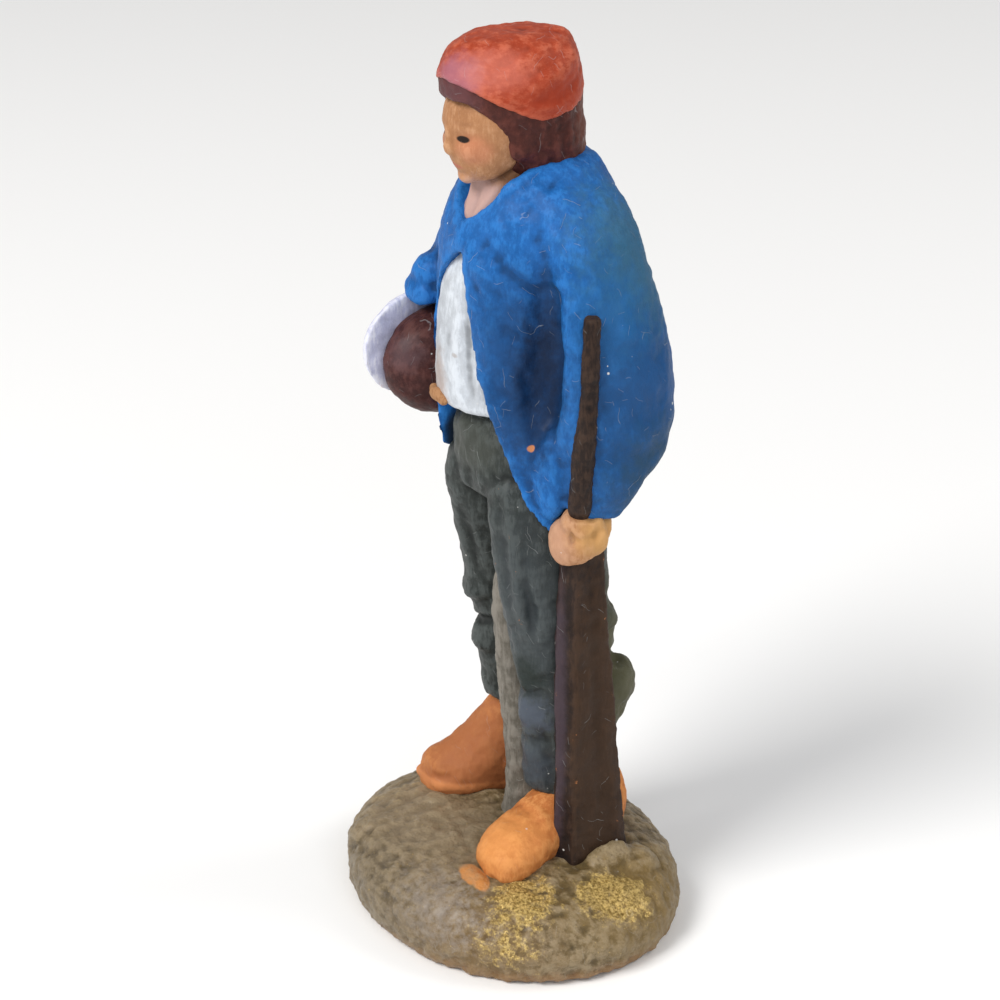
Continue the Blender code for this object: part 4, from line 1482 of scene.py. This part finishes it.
@dataclass
class Jacket:
    """The open blue jacket with both sleeves."""

    body: tuple[Ring, ...] = (
        (0.2, 1.5, 27.4, 7.4, 5.9), (0.2, 1.4, 28.2, 7.6, 6.1), (0.2, 1.4, 32.0, 7.6, 6.3),
        (0.0, 1.2, 38.0, 7.5, 6.4), (0.0, 1.2, 44.0, 7.5, 6.4), (0.0, 1.3, 48.0, 7.4, 6.3),
        (0.2, 1.5, 50.2, 7.2, 6.0), (0.2, 1.8, 52.2, 6.3, 5.4), (0.3, 2.0, 54.0, 4.9, 4.2),
        (0.3, 2.3, 55.0, 3.9, 3.3))
    left_sleeve: tuple[Ring, ...] = (
        (3.9, 2.1, 54.0, 1.2, 2.4), (4.9, 2.1, 52.6, 1.9, 3.4), (5.9, 2.1, 50.6, 2.6, 3.9),
        (6.6, 2.3, 48.2, 3.0, 4.1), (7.3, 2.6, 45.2, 3.3, 4.4), (8.0, 3.0, 41.5, 3.3, 4.6),
        (8.4, 3.2, 38.0, 3.3, 4.7), (8.5, 3.0, 34.6, 3.1, 4.4), (8.5, 2.6, 31.6, 2.8, 3.8),
        (8.4, 2.3, 29.6, 2.0, 2.7))
    right_upper: tuple[Ring, ...] = (
        (-5.0, 1.3, 51.0, 1.6, 2.2), (-6.2, 1.3, 48.6, 2.4, 2.8), (-7.1, 1.1, 45.8, 2.8, 3.0),
        (-8.0, 0.4, 43.2, 2.7, 2.8), (-8.4, -0.2, 41.4, 2.0, 2.2))
    right_fore: tuple[Ring, ...] = (
        (-8.3, 1.6, 43.4, 2.0, 1.8), (-8.6, -0.4, 43.2, 2.3, 1.7), (-8.4, -2.4, 42.8, 2.0, 1.2),
        (-7.8, -4.0, 42.4, 1.6, 0.9))
    left_edge: tuple[tuple[float, float], ...] = (
        (0.5, 48.3), (1.0, 46.4), (1.35, 44.4), (1.7, 42.6), (2.3, 40.0), (3.3, 36.7),
        (4.4, 33.6), (5.4, 30.9), (6.3, 29.0), (6.9, 27.8), (7.1, 23.0))
    right_edge: tuple[tuple[float, float], ...] = (
        (-4.8, 24.0), (-4.8, 32.8), (-5.1, 34.2), (-5.2, 36.5), (-5.2, 41.0), (-4.4, 43.4),
        (-2.7, 45.8), (-0.5, 47.9))
    hem_front: float = -4.9
    cuff_and_elbow: tuple[Lump, ...] = (
        ((6.8, -1.4, 33.0), (1.7, 1.1, 3.8)), ((-7.9, -1.9, 44.0), (1.7, 1.8, 1.5)))
    paint: Paint = Paint(
        "jacket_blue", deep=(0.005, 0.070, 0.24), body=(0.010, 0.125, 0.42),
        bright=(0.026, 0.19, 0.54), contrast=0.5, wear=1.5, dust=1.0, bump=0.10,
        roughness=0.5, brush=(2.2, 2.2, 0.8), gloss=0.06, bare="hem", clay=(0.30, 0.17, 0.10),
        # Painted shade on the outer side of the left sleeve.
        dabs=(Dab((10.2, 3.6, 39.0), (3.4, 5.0, 10.0), (0.008, 0.058, 0.170), 0.85, 0.6, 0.5),
              # Painted sheen: teal-grey light on the back of the left shoulder.
              Dab((8.0, 5.2, 49.0), (3.6, 4.6, 5.4), (0.032, 0.115, 0.180), 0.80, 0.6, 0.6),
              # Painted shade on the outer side of the left sleeve, by the elbow.
              Dab((10.2, 1.6, 45.0), (2.0, 2.6, 3.4), (0.010, 0.110, 0.30), 0.50, 0.6, 0.6),
              # Painted shade low on the left sleeve towards the back.
              Dab((9.4, 4.6, 32.6), (3.2, 3.4, 4.6), (0.018, 0.052, 0.085), 0.80, 0.6, 0.5),
              # Painted shade in the hollow between the chest and the left arm, deepest under the
              # arm.
              Dab((4.6, -3.2, 42.0), (3.2, 2.4, 5.4), (0.004, 0.046, 0.150), 0.75, 0.7, 0.6),
              Dab((5.6, -2.4, 37.2), (2.6, 2.4, 4.0), (0.002, 0.028, 0.095), 0.80, 0.7, 0.6),
              Dab((6.4, -1.6, 40.8), (1.8, 1.9, 4.6), (0.001, 0.009, 0.034), 0.92, 0.7, 0.6),
              # Painted shade in the gap at the jacket's right front edge.
              Dab((-4.6, -1.6, 33.2), (0.45, 2.3, 3.0), (0.008, 0.014, 0.022), 0.95, 0.25, 0.1),
              Dab((6.0, -2.6, 34.8), (0.20, 1.0, 0.26), (0.50, 0.19, 0.07), 0.9, 0.2, 0.1)))

    def creases(self) -> list[Stroke]:
        """List the folds pressed into the jacket and the ridges between them.

        Returns:
            The strokes of the armpit, the sleeve, the chest and the back.
        """
        armpit = [
            Stroke(((6.2, -1.0, 47.8), (6.7, -1.4, 45.2), (6.8, -1.8, 41.6), (6.5, -2.1, 38.4),
                    (6.8, -1.9, 36.4)), 2.1, -1.2, 1.7),
            Stroke(((4.4, -3.6, 45.4), (5.2, -3.4, 42.0), (5.3, -3.2, 38.6)), 2.2, -0.6, 1.5),
            Stroke(((8.2, -0.8, 46.0), (9.4, -0.8, 41.0), (9.4, -1.2, 36.0)), 1.2, 0.30),
            Stroke(((4.6, -3.8, 47.6), (6.2, -2.6, 46.6), (7.6, -1.2, 46.4)), 0.9, -0.30),
            Stroke(((4.4, -4.2, 43.6), (6.0, -3.2, 42.4)), 0.8, -0.28),
            Stroke(((4.6, -4.2, 40.0), (6.0, -3.2, 38.6)), 0.9, 0.26)]
        sleeve = [
            Stroke(((10.4, 0.4, 43.6), (10.9, 3.4, 42.0), (9.6, 6.6, 42.4)), 1.2, -0.12),
            Stroke(((10.6, 0.2, 39.8), (11.4, 3.4, 38.2), (10.0, 7.2, 38.6)), 1.3, -0.14),
            Stroke(((10.6, 0.6, 41.6), (11.3, 3.4, 40.2), (9.8, 7.0, 40.4)), 1.3, 0.10),
            Stroke(((10.8, 0.4, 35.8), (11.3, 3.0, 34.8), (10.0, 6.6, 35.6)), 1.2, -0.16),
            Stroke(((10.4, 0.2, 33.0), (10.8, 2.6, 32.2), (9.8, 5.6, 33.0)), 1.0, 0.10),
            Stroke(((9.4, 1.0, 49.6), (9.9, 1.6, 46.6), (10.6, 1.0, 44.0)), 1.1, -0.22),
            Stroke(((6.0, 6.4, 48.0), (7.0, 7.2, 43.0), (7.6, 7.6, 37.0)), 1.0, -0.5),
            Stroke(((8.0, -1.0, 31.4), (9.0, -0.4, 30.4), (10.2, 1.2, 30.2), (9.6, 4.2, 30.2)),
                   0.6, 0.25)]
        chest = [
            Stroke(((-0.5, -5.0, 50.0), (-0.3, -5.2, 48.8), (-0.2, -5.1, 47.8)), 0.4, -0.3),
            Stroke(((1.2, -4.8, 49.4), (3.2, -4.2, 46.0), (4.0, -4.4, 42.0)), 1.0, 0.22),
            Stroke(((2.6, -4.0, 49.6), (4.6, -3.4, 47.6), (5.8, -2.4, 46.4)), 0.9, -0.20),
            Stroke(((3.6, -5.0, 41.0), (4.4, -4.9, 37.0), (5.6, -4.0, 31.6)), 0.7, 0.22),
            Stroke(((4.9, -4.2, 39.0), (5.6, -3.6, 34.0), (6.4, -2.4, 30.0)), 0.8, -0.22),
            Stroke(((-3.6, -4.6, 40.0), (-4.2, -4.4, 36.0), (-4.4, -4.2, 32.4)), 0.7, 0.22),
            Stroke(((-0.7, -4.8, 50.4), (-1.8, -4.0, 51.6), (-2.8, -2.2, 53.0)), 0.55, 0.30),
            Stroke(((0.1, -4.8, 50.4), (1.6, -4.2, 51.7), (2.8, -2.4, 53.0), (3.3, 0.4, 54.2),
                    (3.0, 3.6, 54.8)), 0.6, 0.32)]
        back = [
            Stroke(((-5.0, 6.0, 49.0), (-3.4, 7.4, 42.0), (-3.0, 7.4, 33.0)), 1.6, -0.45),
            Stroke(((-2.6, 7.0, 50.0), (-0.6, 7.8, 42.0), (0.4, 7.6, 30.0)), 1.8, 0.40),
            Stroke(((3.6, 7.0, 46.0), (2.2, 7.8, 40.0), (2.4, 7.6, 31.0)), 1.5, -0.45),
            Stroke(((5.2, 6.2, 42.0), (4.6, 7.0, 37.0), (5.0, 6.6, 29.0)), 1.3, 0.35),
            Stroke(((-6.2, 4.4, 47.0), (-6.8, 4.8, 40.0), (-6.6, 4.8, 30.0)), 1.1, 0.28),
            Stroke(((-7.0, 2.6, 44.0), (-7.6, 2.0, 38.0), (-7.4, 2.2, 30.0)), 1.0, -0.30),
            Stroke(((-3.6, 5.6, 51.6), (0.2, 6.8, 51.2), (3.8, 5.8, 51.6)), 1.0, -0.22),
            Stroke(((-9.8, 0.8, 45.0), (-10.6, -0.4, 43.6), (-10.8, -2.0, 42.4)), 0.8, -0.28),
            Stroke(((-8.2, -1.6, 44.4), (-9.0, -2.0, 43.6), (-10.2, -1.4, 43.8)), 0.7, -0.3)]
        return armpit + sleeve + chest + back

    def build(self) -> bpy.types.Object:
        """Model and paint the jacket.

        Returns:
            The jacket.
        """
        clay = Clay("jacket").draw_out(list(self.body), sides=24)
        clay.draw_out(list(self.left_sleeve)).draw_out(list(self.right_upper))
        clay.draw_out(list(self.right_fore), Run.FORWARD)
        clay.balls(*self.cuff_and_elbow).fuse(0.22, 8)
        clay.cut([*self.left_edge, *self.right_edge], Axis.Y, -12, 0.2)
        clay.cut([(-0.3, 50.3), (1.0, 51.0), (2.3, 52.5), (3.4, 56.5), (-3.6, 56.5),
                  (-3.2, 52.6), (-1.9, 51.2)], Axis.Y, -12, 0.4)
        clay.cut([(-12.0, 22.0), (-12.0, 31.6), (-3.6, 31.6), (0.0, 30.6), (3.6, 28.9),
                  (7.0, 27.3), (7.0, 22.0)], Axis.X, -14, -1)
        clay.fuse(0.18, 8).tool(*self.creases()).relax(2)
        clay.push(Push((-5.6, -3.6, 40.0), 2.8, (-0.20, -0.30, 0.0)),
                  Push((-5.0, -3.8, 34.0), 2.4, (-0.20, -0.40, 0.0)),
                  Push((8.4, -1.4, 36.0), 3.0, (-0.25, -0.35, 0.0)),
                  Push((9.6, 5.6, 31.2), 3.6, (-0.7, -1.0, 0.3)),
                  Push((9.2, 4.2, 29.6), 2.6, (-0.2, -0.6, 0.9)))
        clay.dimple(2.4, 0.46, 15).dimple(0.8, 0.10, 16).dimple(0.3, 0.05, 17)
        clay.mark_line("hem", tuple((x, self.hem_front, z) for x, z in self.right_edge[2:7]), 0.6)
        return clay.fire(self.paint, ("jacket_back", "jacket_left_front", "jacket_right_front",
                                      "left_sleeve", "right_sleeve"), "jacket")


@dataclass
class Hands:
    """The left fist round the staff and the right hand at the jacket's edge."""

    left: tuple[Ring, ...] = (
        (8.0, -1.9, 27.9, 0.8, 1.2), (8.3, -1.2, 28.1, 1.7, 2.0), (8.6, 0.2, 28.4, 2.1, 2.0),
        (8.5, 1.5, 28.9, 1.9, 1.7), (8.4, 2.4, 29.4, 1.0, 1.0))
    thumb: Lump = ((9.0, -0.1, 29.7), (1.5, 1.6, 1.2))
    right: tuple[Lump, ...] = (
        ((-3.7, -4.4, 36.5), (0.7, 0.35, 0.5)), ((-2.9, -4.75, 36.5), (0.9, 0.4, 0.55)),
        ((-2.1, -4.85, 36.4), (0.7, 0.35, 0.45)))
    left_paint: Paint = Paint(
        "hand_skin", SKIN.deep, SKIN.body, SKIN.bright, contrast=0.45, wear=1.3, dust=0.6,
        bump=0.03, roughness=0.55,
        dabs=(Dab((7.6, -1.9, 28.2), (2.0, 1.7, 2.2), (0.50, 0.28, 0.18), 0.75, 0.4, 0.3),
              # Painted warm light: ochre on the outer side of the left hand.
              Dab((9.8, 1.2, 29.0), (2.0, 2.3, 2.0), (0.56, 0.31, 0.11), 0.75, 0.4, 0.3)))
    right_paint: Paint = Paint(
        "hand_ochre", deep=(0.18, 0.080, 0.032), body=(0.32, 0.150, 0.060),
        bright=(0.45, 0.25, 0.13), contrast=0.5, wear=1.3, dust=0.4, bump=0.03)

    def build(self) -> list[bpy.types.Object]:
        """Model and paint both hands.

        Returns:
            The left and the right hand.
        """
        left = Clay("left_hand").draw_out(list(self.left), Run.FORWARD)
        left.balls(self.thumb).fuse(0.13, 4)
        left.press(((10.3, -0.8, 28.8), (0.95, -0.45, 0.2), 3.2),
                   ((9.6, 1.6, 27.6), (0.6, 0.5, -0.6), 2.6),
                   ((9.0, -2.0, 27.2), (0.6, -0.75, -0.45), 2.6),
                   ((9.5, 0.2, 30.4), (0.35, -0.1, 0.9), 2.4))
        left.tool(Stroke(((9.6, -1.6, 29.6), (9.4, -1.2, 28.4), (8.6, -1.0, 27.0)), 0.4, -0.26),
                  Stroke(((10.2, 0.0, 29.7), (10.2, 0.2, 28.2), (9.2, 0.3, 26.8)), 0.4, -0.24),
                  Stroke(((10.1, 1.4, 29.8), (10.2, 1.6, 28.4), (9.4, 1.6, 27.2)), 0.4, -0.22),
                  Stroke(((10.0, 0.6, 30.2), (10.5, 0.9, 28.8), (9.8, 1.0, 27.2)), 0.5, 0.2),
                  Stroke(((9.6, -0.9, 30.0), (10.0, -0.6, 28.6), (9.2, -0.4, 27.0)), 0.5, 0.2),
                  Stroke(((8.0, -2.4, 29.6), (8.2, -2.2, 28.4), (7.6, -1.8, 27.2)), 0.5, 0.15))
        left.dimple(0.8, 0.16, 18)
        right = Clay("right_hand").balls(*self.right).fuse(0.12, 4)
        right.tool(Stroke(((-3.2, -5.3, 36.45), (-1.6, -5.2, 36.35)), 0.18, -0.10))
        right.dimple(0.7, 0.08, 19)
        return [left.fire(self.left_paint, ("left_hand",), "skin"),
                right.fire(self.right_paint, ("right_hand",), "skin")]


@dataclass
class Staff:
    """The knotty staff on the sleeve and the faceted buttress that carries the hand."""

    stick: tuple[Ring, ...] = (
        (10.05, -0.1, 45.5, 0.60, 0.58), (10.1, -0.15, 45.35, 0.68, 0.66),
        (10.2, -0.3, 43.2, 0.62, 0.62), (10.3, -0.4, 41.8, 0.74, 0.70),
        (10.35, -0.5, 39.6, 0.66, 0.64), (10.3, -0.6, 37.6, 0.74, 0.72),
        (10.1, -0.8, 35.6, 0.92, 0.88), (9.9, -0.7, 33.6, 0.86, 0.84),
        (9.5, -0.6, 31.4, 0.98, 0.92), (8.6, -0.1, 29.0, 0.80, 0.80))
    foot: tuple[tuple[float, tuple[tuple[float, float], ...]], ...] = (
        (-1.0, ((5.4, 0.2), (6.6, -0.7), (8.3, 0.0), (8.5, 5.0), (5.4, 5.0))),
        (4.0, ((5.4, 0.2), (6.6, -0.7), (8.2, 0.1), (8.3, 4.6), (5.4, 4.6))),
        (9.5, ((5.4, 0.2), (6.7, -0.6), (8.1, 0.0), (8.2, 4.1), (5.4, 4.1))),
        (14.5, ((5.4, 0.1), (6.6, -0.7), (8.2, 0.2), (8.1, 3.7), (5.4, 3.7))),
        (20.0, ((5.4, 0.1), (6.6, -0.6), (8.1, 0.2), (8.1, 3.1), (5.4, 3.1))),
        (27.7, ((5.4, 0.1), (6.5, -0.2), (8.0, 0.3), (8.0, 2.5), (5.4, 2.5))))
    knots: int = 13
    paint: Paint = Paint(
        "staff_brown", deep=(0.010, 0.007, 0.007), body=(0.025, 0.013, 0.009),
        bright=(0.070, 0.040, 0.026), contrast=0.4, wear=1.1, dust=1.0, bump=0.06,
        roughness=0.55, brush=(2.8, 2.8, 0.5),
        # Painted cool light: a purple tint on the front narrow face of the staff's foot.
        dabs=(Dab((6.9, -0.9, 14.0), (1.0, 0.75, 14.0), (0.058, 0.040, 0.052), 0.75, 0.35, 0.25),
              Dab((8.4, 2.0, 12.0), (1.0, 2.4, 15.0), (0.056, 0.028, 0.013), 0.6, 0.4, 0.5)))

    def build(self) -> list[bpy.types.Object]:
        """Model and paint the stick and its foot.

        Returns:
            The stick and the foot.
        """
        stick = Clay("staff").draw_out(list(self.stick), sides=12).fuse(0.12, 2)
        chance = random.Random(11)
        knots = []
        for index in range(self.knots):
            z = 31.0 + index * 1.15
            x = 9.3 + min(index, 8) * 0.12
            knots.append(Stroke(((x + 0.7, -1.2 + chance.uniform(-0.3, 0.9), z),
                                 (x + 0.9, -0.4, z + chance.uniform(-0.5, 0.5))),
                                0.5, chance.uniform(-0.16, 0.16)))
        stick.tool(*knots).dimple(0.8, 0.2, 20).dimple(0.3, 0.06, 21)
        foot = Clay("staff_foot").block([(z, list(plan)) for z, plan in self.foot])
        foot.fuse(0.17, 4)
        foot.tool(Stroke(((8.3, 1.6, 24.0), (8.4, 2.0, 15.0), (8.5, 2.4, 5.0)), 0.8, -0.18),
                  Stroke(((8.4, 3.0, 12.0), (8.5, 3.6, 6.0), (8.6, 4.0, 1.0)), 0.7, 0.16))
        foot.dimple(1.6, 0.3, 22).dimple(0.5, 0.08, 23)
        return [stick.fire(self.paint, ("staff",), "staff"),
                foot.fire(self.paint, ("staff_foot",), "staff")]


@dataclass
class Bag:
    """The round maroon bag under the right arm with its pale rim."""

    lumps: tuple[Lump, ...] = (
        ((-7.9, -1.1, 37.0), (3.0, 5.0, 4.2)), ((-8.4, 1.0, 40.9), (1.7, 1.8, 1.3)))
    rim: Lump = ((-8.9, -1.7, 38.1), (2.6, 5.6, 4.3))
    rim_face: float = -9.0
    paint: Paint = Paint(
        "pouch_maroon", deep=(0.026, 0.007, 0.007), body=(0.062, 0.018, 0.016),
        bright=(0.11, 0.042, 0.036), contrast=0.55, wear=1.2, dust=0.8, bump=0.05,
        roughness=0.5, brush=(2.4, 0.9, 0.9), gloss=0.05,
        dabs=(Dab((-6.4, -6.2, 38.6), (1.6, 2.0, 1.4), (0.14, 0.09, 0.10), 0.35, 0.5, 0.6),))
    rim_paint: Paint = Paint(
        "pouch_rim_cream", deep=(0.40, 0.41, 0.55), body=(0.62, 0.64, 0.84),
        bright=(0.80, 0.80, 0.84), contrast=0.6, wear=1.1, dust=0.4, bump=0.05,
        roughness=0.55,
        dabs=(Dab((-12.2, -1.5, 37.8), (2.3, 6.2, 5.0), (0.080, 0.024, 0.021), 1.0, 0.10, 0.12),))

    def build(self) -> list[bpy.types.Object]:
        """Model and paint the bag and its rim.

        Returns:
            The bag and the rim.
        """
        body = Clay("pouch").balls(*self.lumps).fuse(0.17, 3)
        body.tool(Stroke(((-5.2, -5.0, 39.4), (-5.0, -5.4, 36.8), (-5.6, -5.0, 34.2)), 0.9, -0.25),
                  Stroke(((-6.6, -6.6, 39.0), (-6.6, -7.0, 36.6), (-7.0, -6.2, 34.0)), 0.9, 0.22),
                  Stroke(((-7.8, -7.2, 38.4), (-8.0, -7.3, 36.0), (-8.2, -6.4, 33.8)), 0.8, -0.2))
        body.dimple(1.4, 0.2, 24).dimple(0.5, 0.06, 25)
        rim = Clay("pouch_rim").balls(self.rim).fuse(0.17, 1)
        rim.cut([(self.rim_face, 30.0), (self.rim_face, 45.0), (0.0, 45.0), (0.0, 30.0)],
                Axis.Y, -14, 8)
        rim.fuse(0.17, 3).dimple(1.2, 0.2, 26)
        return [body.fire(self.paint, ("pouch_body",), "pouch"),
                rim.fire(self.rim_paint, ("pouch_rim",), "pouch_rim")]


@dataclass(frozen=True)
class SoftBox:
    """A square studio light that looks at the figure; its place and side are in metres."""

    name: str
    place: Point
    side: float
    watts: float
    colour: Rgb


@dataclass
class Studio:
    """A pale floor, soft lights and the camera, in metres."""

    azimuth: float = 57.0
    elevation: float = 24.0
    distance: float = 0.2
    aim: Point = (-0.00055, 0.00059, 0.033)
    lens: float = 97.38
    shift: float = -0.014
    floor_side: float = 6.0
    floor_colour: Rgb = (0.93, 0.93, 0.93)
    air: float = 0.45
    boxes: tuple[SoftBox, ...] = (
        SoftBox("key", (0.05, -0.44, 0.48), 0.26, 3.3, (1.0, 0.985, 0.96)),
        SoftBox("fill", (0.50, -0.12, 0.30), 0.30, 0.65, (0.92, 0.95, 1.0)),
        SoftBox("back", (0.25, 0.42, 0.45), 0.25, 0.9, (1.0, 0.98, 0.95)))

    def build(self) -> None:
        """Set up the room round the figure."""
        clear_selection()
        bpy.ops.mesh.primitive_plane_add(size=self.floor_side, location=(0, 0, 0))
        floor = bpy.context.object
        floor.name = "floor"
        desk = Desk("floor_white")
        desk.shader.inputs["Base Color"].default_value = (*self.floor_colour, 1)
        desk.shader.inputs["Roughness"].default_value = 0.9
        floor.data.materials.append(desk.made)
        for box in self.boxes:
            self.hang(box)
        world = bpy.data.worlds.new("studio_air")
        world.use_nodes = True
        world.node_tree.nodes["Background"].inputs["Color"].default_value = (1, 1, 1, 1)
        world.node_tree.nodes["Background"].inputs["Strength"].default_value = self.air
        bpy.context.scene.world = world
        bpy.context.scene.view_settings.view_transform = "Standard"
        self.camera()

    def hang(self, box: SoftBox) -> None:
        """Hang a soft box so that it looks at the figure.

        Args:
            box: The light.
        """
        bpy.ops.object.light_add(type="AREA", location=box.place)
        lamp = bpy.context.object
        lamp.name = box.name
        lamp.data.size = box.side
        lamp.data.energy = box.watts
        lamp.data.color = box.colour
        lamp.rotation_euler = (Vector(self.aim) - Vector(box.place)).to_track_quat(
            "-Z", "Y").to_euler()

    def camera(self) -> None:
        """Place the camera."""
        turn, rise = math.radians(self.azimuth), math.radians(self.elevation)
        back = Vector((math.sin(turn) * math.cos(rise), -math.cos(turn) * math.cos(rise),
                       math.sin(rise)))
        bpy.ops.object.camera_add(location=Vector(self.aim) + back * self.distance)
        camera = bpy.context.object
        camera.rotation_euler = (-back).to_track_quat("-Z", "Y").to_euler()
        camera.data.lens = self.lens
        camera.data.sensor_width = 36.0
        camera.data.shift_x = self.shift
        camera.data.clip_start = 0.001
        bpy.context.scene.camera = camera


def main() -> None:
    """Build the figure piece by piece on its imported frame."""
    logging.basicConfig(level=logging.INFO, format="%(name)s: %(message)s")
    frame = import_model()
    log.info("frame holds %d nodes", len(frame["nodes"]))
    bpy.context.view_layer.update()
    Studio().build()
    for part in (Mound(), Shoes(), Trousers(), Stump(), Shirt(), Head(), Jacket(), Hands(),
                 Staff(), Bag()):
        made = part.build()
        for piece in made if isinstance(made, list) else [made]:
            log.info("built %s", piece.name)
    clear_selection()


if __name__ == "__main__":
    main()
